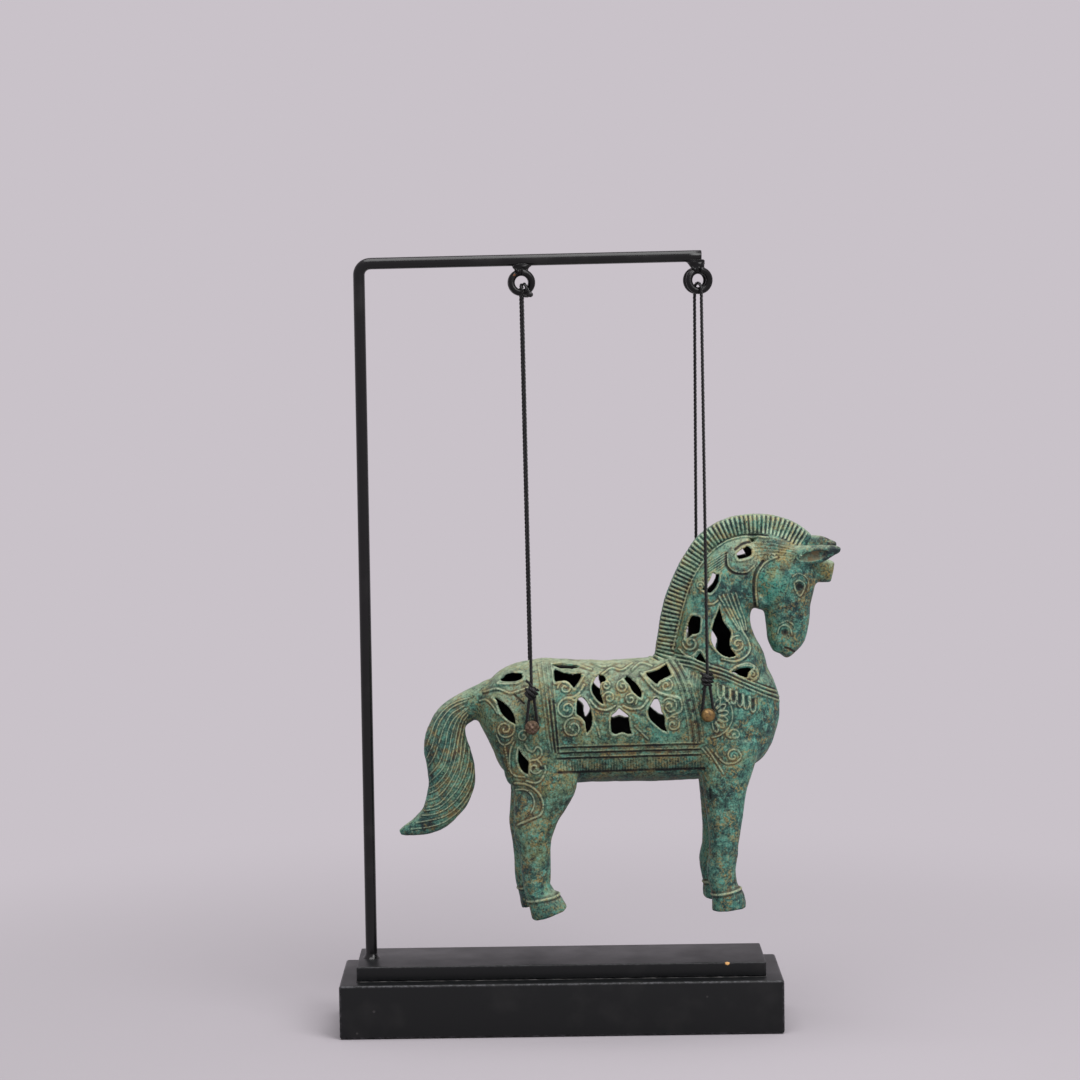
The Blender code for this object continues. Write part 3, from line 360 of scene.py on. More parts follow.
# the horse: hollow cast body of oval sections; x and z of the middle, y, half height, half width in mm
horse = {
    "shift": -1.0,
    "wall": 2.6,
    "legWall": 3.0,
    "hollowLegRows": 3,
    "hollowTrunkEnds": ((-35.5, 165.4, 0, 11, 11), (111, 165.2, 0, 12, 10)),
    "hollowNeckEnd": (102, 242, 0, 11.5, 9.6),
    "skinFuse": (1.0, 11),  # voxel in mm, rounds of smoothing
    "coreFuse": (1.5, 6),
    "cutDepth": 38,         # of the tools that open one wall
    "setBack": {"hind": 5.5, "fore": 2.8},  # of the far feet
    "trunk": [
        (-40.5, 166.6, 0, 5.6, 8), (-34.5, 165.2, 0, 16.5, 16.4), (-28, 161.4, 0, 26.2, 21.5),
        (-18, 160.6, 0, 30.8, 24), (-4, 160.3, 0, 32.7, 24.8), (22, 159.8, 0, 31.8, 24.2),
        (50, 160.5, 0, 32.5, 24.6), (76, 162.6, 0, 33.6, 25.4), (95, 163.8, 0, 31.6, 23.4),
        (107, 164.3, 0, 25.3, 18.6), (112.8, 165.6, 0, 17.3, 13.5), (116.5, 166.8, 0, 6.2, 7)],
    "neck": [
        (84, 177, 0, 27.5, 22.5), (84.9, 190, 0, 25.2, 20.5), (83.9, 203, 0, 20, 17.5),
        (84.2, 215.5, 0, 18, 14.6), (88, 228, 0, 17.4, 13.2), (96, 238.5, 0, 16.6, 12.4),
        (106, 243.5, 0, 14.5, 11.6)],
    "head": [
        (105.5, 254.5, 0, 9.5, 9), (116, 244, 0, 15.5, 11.8), (119.5, 235, 0, 17.2, 12.8),
        (120.4, 227, 0, 15, 12.2), (121.1, 218, 0, 12.2, 10.4), (121.2, 208.5, 0, 11.2, 8.6),
        (119.8, 200.3, 0, 9.4, 8.2), (118.4, 194, 0, 4.8, 5.6)],
    "lip": [(118.6, 199.5, 0, 4, 5.5), (120.4, 195.2, 0, 3.2, 4.2), (122, 192.4, 0, 2, 2.6)],
    "jaw": [(97, 227, 0, 4, 8), (103, 224.2, 0, 4.4, 9.5), (109.5, 220.8, 0, 4.4, 9)],
    "crest": [
        (55.6, 188, 0, 5, 5.5), (58.7, 197, 0, 6.2, 5.6), (61.9, 216, 0, 6.4, 5.6),
        (66.9, 230.5, 0, 6.4, 5.6), (73.8, 244, 0, 6.4, 5.6), (81.9, 253.6, 0, 6.4, 5.6),
        (92.2, 259.2, 0, 6.4, 5.6), (103.6, 260.8, 0, 6.4, 5.6), (114.2, 259.8, 0, 6.6, 5.6),
        (123.4, 255.6, 0, 7, 5.6), (131, 250.4, 0, 6.4, 5)],
    "tail": [
        (-32, 174, 0, 9.2, 8), (-45.5, 168.8, 0, 7.9, 7), (-54.8, 161.8, 0, 8.8, 7.2),
        (-57.8, 150, 0, 11.4, 7.8), (-55.6, 138.5, 0, 12.5, 8), (-54.9, 128, 0, 12.1, 8),
        (-58.6, 118.4, 0, 10.6, 7.6), (-64.4, 110.2, 0, 7.9, 6.8), (-73.2, 105.3, 0, 5, 5),
        (-82.8, 102.3, 0, 1.6, 1.8)],
    "ears": {  # the near one sits a little lower
        -1: [(119.5, 244.6, 7, 4.8, 3.6), (129.5, 246, 9.4, 5, 3.6), (137, 246.8, 10.6, 4.9, 3.2),
             (142.5, 248, 11, 3.6, 2.6), (148.4, 249.4, 11.4, 1.4, 1.7)],
        1: [(119.5, 247, 7, 4.6, 3.6), (130, 249.4, 9.4, 5, 3.6), (139, 250.6, 10.8, 4.2, 3),
            (148.6, 249.4, 11.4, 1.6, 1.8)]},
    "forelock": [(129, 239.8, 0, 7.6, 6), (138, 237.7, 0, 6.8, 5.2), (145.2, 236.2, 0, 5.4, 4.4)],
    "hindLeg": [
        (-9, 152, 13, 21, 11.5), (-8.7, 140, 13.6, 19.4, 11.6), (-7, 129, 15, 17.4, 10.6),
        (-10.5, 115, 16.2, 12.5, 9.4), (-12.5, 104.5, 16.8, 10.4, 8.8), (-12.1, 95, 17, 8.4, 8),
        (-11.3, 84, 17, 7.8, 7.6), (-11, 75.5, 17, 7, 7.7), (-8.6, 69, 17, 7.7, 8)],
    "hindHoof": [(-8, 70.8, 17, 8.2, 8.8), (-6.4, 66.8, 17, 9, 9.4), (-4.4, 61.2, 17, 10, 9.5)],
    "foreLeg": [
        (90, 152, 13, 17, 11.5), (88.4, 139, 13.8, 14.4, 11.2), (87.2, 128, 15.2, 11.8, 10.4),
        (86.9, 115, 16.4, 10, 9), (86.5, 102, 17, 8.2, 8.2), (85.8, 92, 17, 7.5, 7.8),
        (84.6, 83, 17, 7.6, 7.8), (85.7, 76.5, 17, 7.1, 7.8), (87, 71, 17, 7.3, 8)],
    "foreHoof": [(87.2, 72.8, 17, 7.8, 8.8), (88.2, 68.4, 17, 8.6, 9.4), (88.9, 63, 17, 9.1, 9.5)],
    # openings as seen in the 1080 frame, each group with one known place: u, v and x, z in mm
    "across": 0.515,
    "down": 0.5195,
    "tilt": 0.007,
    "bodyPlace": (600, 710, 21.7, 168.8),
    "neckPlace": (720, 620, 84.3, 213.5),
    "farBody": (0, 2.0),  # the far side's openings are moved, x and z
    "farNeck": (-5, -7),
    "bodyOpenings": [
        [(499, 684), (501, 682), (504, 680), (505.5, 678), (510.5, 676.5), (522, 676), (523, 678.5),
         (521, 681.5), (514.5, 683.5), (505.5, 684)],
        [(493, 699), (498, 699.5), (503, 702), (509.5, 707.5), (514, 713.5), (516, 719.5), (516, 725),
         (511.5, 723), (505.5, 718.5), (501, 713.5), (498.5, 708), (496.5, 702.5)],
        [(518.5, 749), (521, 750.5), (523, 754.5), (526.5, 759), (529, 762), (529, 767), (529, 774.5),
         (525, 773.5), (521, 769.5), (518.5, 764), (517.5, 757.5)],
        [(553.5, 671.5), (558.5, 673.5), (564.5, 675.5), (572, 676.5), (582.5, 676), (580.5, 680.5),
         (577.5, 685), (573.5, 689.5), (570, 685), (565.5, 682.5), (560.5, 682.5), (555, 683.5)],
        [(594.5, 680), (598.5, 677), (604, 677.5), (606.5, 680.5), (605.5, 683.5), (602, 684.5),
         (600.5, 688), (601, 694), (603, 700), (604.5, 704.5), (602, 704.5), (597.5, 701), (593.5, 695.5),
         (591.5, 690), (592, 685)],
        [(623, 680.5), (626.5, 678), (631.5, 679.5), (636.5, 684), (641, 690), (642, 695), (640.5, 699),
         (635.5, 695.5), (631.5, 691), (629, 686), (625.5, 683)],
        [(644, 674.5), (650, 675), (657, 672.5), (662, 669.5), (667, 666.5), (669.5, 670.5), (671.5, 675.5),
         (670.5, 677), (665.5, 679.5), (660, 682.5), (657, 685.5), (653, 682.5), (649, 679)],
        [(578.5, 698), (582, 697), (586, 700), (589.5, 705.5), (591.5, 711.5), (593, 719.5), (592, 726.5),
         (589.5, 731), (586.5, 734), (585, 729), (584, 721.5), (581, 717.5), (576.5, 714.5), (576, 707.5),
         (576.5, 701)],
        [(650, 705.5), (653.5, 699), (658.5, 699), (661, 705.5), (662, 711.5), (665.5, 717.5),
         (665.5, 724.5), (668, 732), (662, 730.5), (656, 725.5), (651, 720.5), (648, 715.5), (648, 709.5)],
        [(619, 708), (623.5, 711.5), (628.5, 715.5), (629.5, 721.5), (630.5, 728), (632.5, 733.5),
         (627.5, 734.5), (622, 732.5), (615.5, 734.5), (611, 732), (610.5, 721.5), (611.5, 715.5),
         (615.5, 712)],
    ],
    "pollOpenings": [
        [(736.5, 554), (740.5, 550.5), (747.5, 546.5), (752, 550.5), (751.5, 556), (746.5, 558.5),
         (738.5, 560)],
        [(712.5, 573), (715.5, 574), (719.5, 574.5), (718.5, 582.5), (715.5, 588.5), (711, 593.5),
         (708, 593), (701.5, 589.5), (706, 586.5), (709.5, 580.5)],
    ],
    "neckOpenings": [
        [(692, 616), (700.5, 618), (700.5, 626), (699.5, 633), (692.5, 635.5), (686.5, 640), (686.5, 631),
         (688.5, 623)],
        [(719.5, 605.5), (721.5, 612.5), (723.5, 620.5), (728, 627.5), (731, 633), (730, 642.5),
         (731.5, 648), (736, 654), (735.5, 656), (729, 657), (721, 654.5), (714.5, 648), (711, 641),
         (711, 632), (713.5, 621.5), (716.5, 612.5)],
        [(700.5, 651.5), (706, 660.5), (707.5, 663.5), (695, 659)],
        [(730.5, 671.5), (739.5, 667.5), (747.5, 666.5), (753.5, 668.5), (750, 671), (746.5, 677.5),
         (738.5, 674.5)],
    ],
    "backSlot": [(-3.8, 10.3), (1, 8.6), (8, 8.6), (12.3, 10.3), (8, 12), (1, 12)],  # x, y
    "backSlotHeights": (176, 206),
    "earHollows": {-1: (134.6, 14.2, 245.8, 13), 1: (133.5, 14.2, 248.8, 6)},  # x, y, z, lean in degrees
    "earHollowSize": (20, 6, 6),
    "earSplay": 9,
    "pins": {"front": (76.9, 166.5), "rear": (-13.4, 160.9)},  # x, z
    "pinBore": 1.9,
}
openingGroups = (  # outlines, their known place, and how far the far side's are moved
    (horse["bodyOpenings"], horse["bodyPlace"], horse["farBody"]),
    (horse["pollOpenings"], horse["neckPlace"], (0, 0)),
    (horse["neckOpenings"], horse["neckPlace"], horse["farNeck"]))


# skin over oval sections
def loft(shape, rows, side=1, shrink=0.0, corners=36, squareness=2.3, upright=False):
    rows = smoothPath(rows, 5)
    along = np.gradient(rows[:, :2], axis=0)
    along /= np.linalg.norm(along, axis=1, keepdims=True)
    if upright:
        along[:] = (1, 0)
    angle = np.arange(corners) * math.tau / corners
    c, s = np.cos(angle), np.sin(angle)
    across = np.sign(c) * np.abs(c) ** (2 / squareness)
    up = np.sign(s) * np.abs(s) ** (2 / squareness)
    points = []
    for (x, z, y, tall, wide), (dx, dz) in zip(rows, along):
        tall, wide = max(tall - shrink, 0.4), max(wide - shrink, 0.4)
        points.append(np.stack(
            [x + horse["shift"] - dz * up * tall, side * y + across * wide, z + dx * up * tall], 1))
    gather(shape, np.concatenate(points), ringFaces(len(rows), corners))


def traced(outline, place, shift):  # an outline of the frame as x, z in mm
    u, v = np.array(outline, float).T
    right, down = u - place[0], v - place[1]
    return np.stack([place[2] + shift[0] + right * horse["across"] - down * horse["tilt"],
                     place[3] + shift[1] - down * horse["down"] - right * horse["tilt"]], 1)


def prism(shape, places, depth):  # a flat outline run along depth
    places = np.array(places, float)
    gather(shape, np.concatenate([places, places + depth]), ringFaces(2, len(places)))


def fuse(made, voxel, soften):  # overlapping shapes become one skin
    step = made.modifiers.new("fuse", "REMESH")
    step.mode = "VOXEL"
    step.voxel_size = voxel * mm
    step = made.modifiers.new("soften", "SMOOTH")
    step.factor = 0.5
    step.iterations = soften
    return settle(made)


def subtract(made, tool, solver="MANIFOLD"):
    step = made.modifiers.new("cut", "BOOLEAN")
    step.object = tool
    step.operation = "DIFFERENCE"
    step.solver = solver
    settle(made)
    bpy.data.objects.remove(tool, do_unlink=True)


def cutAway(made, shape, solver="MANIFOLD"):
    subtract(made, outwards(toObject("cutter", shape)), solver)


def legRows(name, side):  # upper leg and hoof; the far feet stand further back
    leg, hoof = np.array(horse[f"{name}Leg"], float), np.array(horse[f"{name}Hoof"], float)
    if side > 0:
        leg[:, 0] -= np.linspace(0, horse["setBack"][name], len(leg))
        hoof[:, 0] -= horse["setBack"][name]
    return leg, hoof


def buildSkin():
    shape = newShape()
    for part in ("trunk", "neck", "head", "jaw", "lip", "tail", "forelock"):
        loft(shape, horse[part], upright=part == "trunk")
    loft(shape, horse["crest"], squareness=2.6)
    for side in (-1, 1):
        loft(shape, horse["ears"][side], side)
        for name in ("hind", "fore"):
            leg, hoof = legRows(name, side)
            loft(shape, leg, side, squareness=2.0)
            loft(shape, hoof, side, squareness=2.2)
    return fuse(outwards(toObject("horse_casting_skin", shape)), *horse["skinFuse"])


def hollow(made):
    shape = newShape()
    rump, breast = horse["hollowTrunkEnds"]
    loft(shape, [rump, *horse["trunk"][2:-2], breast], shrink=horse["wall"], upright=True)
    loft(shape, [*horse["neck"][:-1], horse["hollowNeckEnd"]], shrink=horse["wall"])
    for side in (-1, 1):
        for name in ("hind", "fore"):
            rows = legRows(name, side)[0][:horse["hollowLegRows"]]
            loft(shape, rows, side, horse["legWall"], squareness=2.0)
    subtract(made, fuse(outwards(toObject("core", shape)), *horse["coreFuse"]))


def pierce(made):
    low, high = horse["backSlotHeights"]
    for side in (-1, 1):
        shape = newShape()
        for outlines, place, shift in openingGroups:
            for outline in outlines:
                cut = traced(outline, place, shift if side > 0 else (0, 0))
                prism(shape, [(x, side, z) for x, z in cut], (0, side * horse["cutDepth"], 0))
        cutAway(made, shape)
        shape = newShape()
        prism(shape, [(x, side * y, low) for x, y in horse["backSlot"]], (0, 0, high - low))
        x, y, z, lean = horse["earHollows"][side]
        turn = Matrix.Rotation(side * math.radians(horse["earSplay"]), 3, "Z")
        turn = turn @ Matrix.Rotation(-math.radians(lean), 3, "Y")
        ball(shape, (x + horse["shift"], side * y, z), np.array(horse["earHollowSize"]) / 2, turn)
        cutAway(made, shape)
    shape = newShape()
    reach = horse["cutDepth"] + 2
    for x, z in horse["pins"].values():
        turnProfile(shape, [(horse["pinBore"], -reach), (horse["pinBore"], reach)], 20, (x, 0, z), "Y")
    cutAway(made, shape)


solid = buildSkin()
solidTree = treeOf(solid.data)
print("horse skin", len(solid.data.vertices))
hollow(solid)
pierce(solid)
print("horse pierced", len(solid.data.vertices))

# ornament cut in the wax: lines as seen from the front in the 1080 frame, the far side the same mirrored
carving = {
    "area": (396, 494, 850, 936),  # left, top, right and bottom of the horse in the frame
    "fine": 3,                     # map cells per unit of the frame
    "voxel": 0.46,                 # mm
    "ridge": 0.48,
    "groove": 0.45,
    "swell": 0.75,
    "lumps": ((7.0, 0.3), (2.2, 0.1)),  # uneven casting: size and height
    # scrolls: u, v, radius, start in degrees, turns
    "scrolls": [
        (505.5, 729, 9.5, 20, -1.6), (523.4, 736, 6, 60, 1.2), (535, 768, 8.5, 130, -1.4),
        (565, 688.5, 7.5, 180, -1.4), (567, 709, 11, 50, 1.7), (573, 728, 11, 25, 1.7),
        (606, 686, 6, 200, -1.4), (622.5, 687, 7, 60, 1.5), (609, 698, 7, 230, -1.5),
        (630.5, 699.5, 7, -40, 1.5), (666.5, 686, 8, 170, -1.5), (670, 706.5, 8.5, 150, -1.5),
        (673, 724.5, 8.5, 160, -1.4), (691, 643.5, 9, 60, 1.7), (737, 644.5, 8.8, 80, 1.6),
        (752, 674.5, 6, 100, -1.5), (700.5, 586, 4.5, 0, 1.4), (771.6, 557.2, 4, 0, 1.3),
        (801, 557.5, 4.2, 180, 1.4), (734.5, 735, 6.5, 180, -1.3), (733, 756, 8, 0, 1.1)],
    # raised lines: half width, then u, v along the line
    "lines": [
        (1.1, [(484, 692), (497, 689), (508.6, 693), (512.7, 693), (528, 688)]),
        (1.0, [(480, 701), (486, 700), (492, 705), (498, 713.5)]),
        (1.0, [(497, 735), (500, 742), (504.5, 745), (510.6, 742), (512.7, 738)]),
        (1.0, [(513.7, 742), (510.6, 750), (509.6, 760.4), (510.6, 770.6), (516, 776), (525, 777)]),
        (1.0, [(525, 744), (528, 749.7), (533, 751.7), (537, 747), (541.2, 750), (541.2, 755.3), (537, 759.4),
               (532, 760.4)]),
        (1.1, [(545, 766), (545.5, 771), (541, 779.8), (535, 783), (526, 781)]),
        (1.2, [(515, 783), (528, 785), (538.5, 793), (543, 804), (540.5, 814.5), (530, 819.5), (517.5, 825)]),
        (0.9, [(515.7, 789.6), (526, 790), (533, 797), (534, 806), (531, 813)]),
        (1.3, [(566, 698), (574, 697), (580, 692), (584, 685)]),
        (1.3, [(640.8, 673.7), (653, 688), (661, 694), (677.6, 698)]),
        (1.2, [(590, 700), (597, 708), (607, 710), (615, 706)]),
        (1.2, [(623, 706), (631, 709), (641, 708), (648, 700)]),
        (1.1, [(655, 691), (666, 695), (677.6, 697), (681.6, 703.3), (680.6, 711.4), (671.4, 715.5)]),
        (1.0, [(634.7, 725.7), (640.8, 731.8), (648, 739)]),
        (1.0, [(592, 719), (597, 727), (600, 737)]),
        (1.1, [(551.4, 664.5), (561.6, 662.4), (577, 664.5), (591.2, 669.6)]),
        (1.1, [(644, 672.7), (655, 669.6), (666, 664)]),
        (1.0, [(727.5, 729.8), (726.5, 734.9), (730.6, 738)]),
        (1.0, [(706, 747), (715, 760), (723.5, 773.7)]),
        (0.9, [(702, 748), (711, 759)]),
        (1.0, [(574, 665), (588, 661.5), (603, 666.5), (618, 662)]),
        (1.0, [(602, 674), (611, 668), (622, 670), (632, 663)]),
        (1.0, [(632, 670), (641, 663), (652, 666)]),
        (1.0, [(715.3, 753), (720.4, 759.4), (726.5, 763.5), (735.7, 762.4), (740.8, 757.3)]),
        (1.0, [(679.6, 649), (684.7, 654.3), (691.8, 656.3), (699, 650)]),
        (1.2, [(741, 628.6), (747.6, 640), (750, 649), (745, 657), (735, 661.5), (722, 659)]),
        (1.0, [(730.4, 671.5), (737.3, 666), (748.7, 663.6), (757, 670), (757, 677.8), (751, 681)]),
        (1.0, [(717.6, 600.6), (713, 604), (706, 604.5)]),
        (1.0, [(672.5, 649), (679, 624), (685, 601), (692, 581), (701, 565), (712, 551.5), (729, 540.5),
               (748, 536.8), (768, 538)]),
        (0.8, [(727.5, 554), (728.6, 565.3), (735.3, 571.4), (746.3, 572), (754, 566)]),
        (1.0, [(757.5, 605), (755.5, 590), (757, 575), (765, 563), (777, 557)]),
        (0.6, [(792, 577), (798.2, 573.6), (805.3, 576.6), (808.6, 583.3), (807.3, 591.4)]),
        (0.95, [(794, 584), (797, 581), (801, 581), (804.5, 585), (803.6, 590.4), (799.7, 596),
                (795.6, 590.4), (794, 584)]),
        (0.9, [(777.8, 633), (779.8, 627), (784.9, 625), (790, 628), (792, 635)]),
        (0.8, [(779.5, 624), (787, 620.8), (793.4, 625)])],
    # lines in a row: how many, half width, height, then u, v of the first and the step to the next
    "rows": {
        "blanket foot": (3, 0.75, 0.8, [(557, 746.2, 0, 5.4), (628, 744.2, 0, 5.4), (700, 742.2, 0, 5.4)]),
        "tassels": (6, 0.95, 1.0, [(717.5, 684, 6.5, 2.7), (717.9, 695, 6.5, 2.7), (720.5, 698.5, 6.5, 2.7),
                                   (722.9, 695, 6.5, 2.7), (722.9, 686, 6.5, 2.7)]),
        "shoulder": (4, 0.75, 0.8, [(690, 671, 3.6, 1.6), (688.5, 684, 3.6, 2), (691, 694, 3.4, 2)]),
        "flame locks": (5, 0.95, 1.0, [(719, 596, 4.2, -0.8), (726.5, 609.5, 3.6, 0), (732.5, 620.5, 3, 0),
                                       (739, 630, 1.8, 0)]),
        "hair at the poll": (7, 0.65, 0.8, [(727, 551, -0.6, 2.9), (719, 556.5, -0.4, 2.9),
                                            (708, 564, 0, 2.6)]),
        "hair to the ear": (4, 0.65, 0.6, [(752, 543, 0, 4), (766, 543.5, 0, 3.4), (781, 546, 0, 2.8),
                                           (794, 549.5, 0, 2)]),
    },
    "sunkRows": {
        "blanket foot": (3, 0.75, 1.1, [(557, 748.2, 0, 5.4), (628, 746.2, 0, 5.4), (700, 744.2, 0, 5.4)]),
        "tassels": (6, 1.2, 1.0, [(720.3, 686, 6.5, 2.7), (720.5, 694, 6.5, 2.7)]),
    },
    # tail locks from the outside of the bend inwards
    "locks": [
        [(469, 698), (455, 702.5), (443.6, 710.5), (435.6, 722), (431, 734.6), (427, 746)],
        [(466.6, 701), (451.7, 708), (441, 720), (435.6, 733.5), (432, 747), (427, 758)],
        [(464, 706), (451.7, 714), (444.8, 725.4), (439.6, 740.4), (434.4, 756.4), (428, 767)],
        [(465, 709), (454, 718.6), (448, 731), (444.8, 747), (439, 763), (429.5, 775)],
        [(468, 708), (458.6, 717.4), (452.8, 730), (449.4, 747), (443.6, 767), (429.5, 782.5)],
        [(467, 712), (462, 717.4), (457.4, 729), (454, 747), (448, 769), (438, 783), (430, 788)],
        [(467.7, 715), (462, 724), (458.6, 739), (456, 755), (449.4, 775), (438, 788.6), (429.5, 793.5)],
        [(466, 721), (462.6, 733.5), (460.8, 749.6), (457.4, 767), (448, 785), (438, 796.6), (429, 800.5)],
        [(466.6, 731), (465, 747), (462, 763), (458.6, 776), (449.4, 792), (439, 803.5), (427, 808)],
        [(469, 740), (469, 757.6), (465.4, 772.5), (458.6, 787.4), (448, 800), (438, 808), (425, 811)],
        [(472, 763), (470, 776), (464, 788.6), (455, 801), (443.6, 810.4), (432, 814.5), (422, 815.5)],
        [(473.5, 770), (471, 784), (465.4, 796.6), (456, 808), (444.8, 816), (431, 820), (416, 823)],
        [(472.5, 790), (465.4, 802.4), (455, 814), (443.6, 822), (428.7, 827), (411, 829)]],
    "blanketEdge": [(537, 658), (543.3, 701), (547.3, 732), (550.5, 752)],  # first of four ridges
    "blanketStep": (4.5, 4.0, 3.7, 3.2),
    "frontBand": [(665.3, 660.4), (673.5, 673.7), (680.6, 691), (684.7, 706.3), (688.8, 727.8), (690, 742)],
    "strap": [(675.5, 655.3), (691.8, 658.4), (706, 664.5), (722.4, 669.6), (742.9, 678.8), (760, 686),
              (777, 692)],
    "maneBorder": [(670.5, 649), (677, 624), (683, 601), (690, 580), (699, 564), (710.5, 550), (728, 538.6),
                   (747.6, 534.6), (768, 535.8)],
    "beads": [(505, 747), (506.5, 755), (509, 769)],
    "fringe": (559, 704, 2.8, 771, -0.028, 10),  # from, to, step, foot, its slope, length
    "rosette": (710, 715),  # round the front pin
    # sunk lines, and hollows as u, v and radius
    "cuts": [
        (0.9, [(512.7, 693), (518, 698), (524, 703.5)]),
        (1.2, [(559, 772.5), (630, 770.6), (704, 768.5)]),
        (1.3, [(755, 606), (753.5, 590), (755, 574), (763, 561)]),
        (1.2, [(725.6, 553), (726.5, 566), (734.4, 573), (747, 574)]),
        (1.1, [(735, 549.5), (742, 544), (753, 541.5)]),
        (0.9, [(795, 652.4), (790, 648.8), (785, 647.6)]),
        (0.9, [(709.5, 789.6), (710.4, 798.6)])],
    "pits": [(799.6, 587, 3.1), (785, 632, 2.6), (541.5, 768.6, 2.4), (689.5, 700, 1.6), (692.5, 711, 1.6),
             (694.6, 722, 1.6), (533.6, 767.6, 1.2), (795.4, 583.4, 1.0)],
    "swells": [(772, 585, 14), (771, 583, 10), (600, 717, 12), (640, 717, 11), (785, 630, 7), (787, 652, 4)],
    "maneRibs": 2.12,  # mm from rib to rib
    "maneDepth": 4.2,  # mm that the ribs run down below the middle of the crest
}
left, top, right, bottom = carving["area"]
fine = carving["fine"]
mapNames = ("ridge", "flank", "groove", "swell")
maps = {name: np.zeros(((bottom - top) * fine, (right - left) * fine)) for name in mapNames}


def stroke(name, path, half, amount=1.0):  # a soft line stamped into a map
    cells = maps[name]
    reach = math.ceil(2.3 * half * fine)
    span = np.arange(-reach, reach + 1)
    for u, v in path:
        across, down = (u - left) * fine, (v - top) * fine
        i, j = round(down), round(across)
        if reach <= i < cells.shape[0] - reach and reach <= j < cells.shape[1] - reach:
            off = (span + i - down)[:, None] ** 2 + (span + j - across)[None] ** 2
            patch = cells[i - reach:i + reach + 1, j - reach:j + reach + 1]
            np.maximum(patch, amount * np.exp(-off / (half * fine) ** 2), out=patch)


def raised(uv, half=1.0, amount=1.0):  # a raised line with a dark flank on both sides
    path = evenly(smoothPath(uv, 8), 0.4)
    stroke("ridge", path, half, amount)
    stroke("flank", path, 2.0 * half, 0.9 * amount)


def sunk(uv, half=1.0, amount=1.0):
    stroke("groove", evenly(smoothPath(uv, 8), 0.4), half, amount)


def swollen(uv, half, amount):
    stroke("swell", evenly(smoothPath(uv, 8), 1.0), half, amount)


def inRows(draw, rows):
    for count, half, amount, places in rows.values():
        for k in range(count):
            draw([(u + k * du, v + k * dv) for u, v, du, dv in places], half, amount)


def carve():
    for u, v, radius, start, turns in carving["scrolls"]:
        share = np.linspace(0, 1, 24)
        angle = np.radians(start) + turns * math.tau * share
        out = radius * (1 - 0.86 * share)
        raised(np.stack([u + out * np.cos(angle), v - out * np.sin(angle)], 1), 0.7 + 0.03 * radius)
        stroke("swell", [(u, v)], 0.9 * radius)
    for half, uv in carving["lines"]:
        raised(uv, half)
    for uv in carving["locks"]:
        raised(uv, 0.75)
    for half, uv in carving["cuts"]:
        sunk(uv, half)
    for u, v, radius in carving["pits"]:
        stroke("groove", [(u, v)], radius, 1.7)
    for u, v, radius in carving["swells"]:
        stroke("swell", [(u, v)], radius, 0.9)
    inRows(raised, carving["rows"])
    inRows(sunk, carving["sunkRows"])
    names = ("blanketEdge", "frontBand", "strap", "maneBorder")
    edge, band, strap, mane = (np.array(carving[name]) for name in names)
    swollen(edge + (6, 0), 8, 0.7)
    for k in range(4):
        ridge = edge + np.array([(k * step, 0) for step in carving["blanketStep"]])
        raised(ridge, 0.8, 0.75)
        if k:
            sunk(ridge[1:] - (2, 0), 0.8, 0.5 if k == 1 else 1.2)
    swollen(band + (6, 0), 8, 0.7)
    swollen(strap + (2, 5), 7, 0.7)
    for k in range(3):
        raised(band + (6.2 * k, 0), 0.85, 0.8)
        if k:
            sunk(band + (6.2 * k - 3, 0), 0.8, 0.7)
        raised(strap + (1.5 * k, 4.6 * k), 0.9, 0.85)
        sunk(strap + (1.5 * k - 0.7, 4.6 * k - 2.3), 0.8, 0.8)
    sunk(mane, 0.9)
    swollen(mane + (4.5, 3), 4.5, 0.6)
    first, last, step, low, slope, long = carving["fringe"]
    for u in np.arange(first, last, step):
        foot = low + slope * (u - first)
        strand = evenly(smoothPath([(u, foot - long), (u + 0.2, foot - long / 2), (u + 0.3, foot)], 8), 0.4)
        stroke("ridge", strand, 0.7, 0.8)
        stroke("flank", strand + (1.4, 0), 0.7, 0.3)
    u, v = carving["rosette"]
    for k in range(6):  # petals
        angle = math.radians(58 - 25 * k)
        raised([(u + out * math.cos(angle + bend), v - out * math.sin(angle + bend))
                for out, bend in ((9, -0.14), (15, -0.16), (18.5, 0), (15, 0.16), (9, 0.14))], 0.9)
    around = np.radians([50, 28, 5, -20, -45, -68, -85])
    raised([(u + 22.5 * math.cos(a), v - 22.5 * math.sin(a)) for a in around], 0.9)
    for place in evenly(smoothPath(carving["beads"], 6), 2.6):
        stroke("ridge", [place], 1.3)
        stroke("flank", [place], 2.3)


carve()
plain = {name: cells.copy() for name, cells in maps.items()}
rims = {}
for far in (False, True):  # a worn lip round each opening
    maps.update({name: cells.copy() for name, cells in plain.items()})
    for outlines, _, shift in openingGroups:
        for outline in outlines:
            uv = np.array(outline, float)
            off = uv - uv.mean(0)
            uv = uv.mean(0) + off * (1 + 1.1 / np.linalg.norm(off, axis=1, keepdims=True))
            if far:
                uv = uv + (shift[0] / horse["across"], -shift[1] / horse["down"])
            lip = evenly(smoothPath(uv, 6, closed=True), 0.4)
            stroke("ridge", lip, 0.85)
            stroke("flank", lip, 2.0, 0.5)
            stroke("swell", lip, 3.0, 0.5)
    rims[far] = dict(maps)
print("carving drawn")

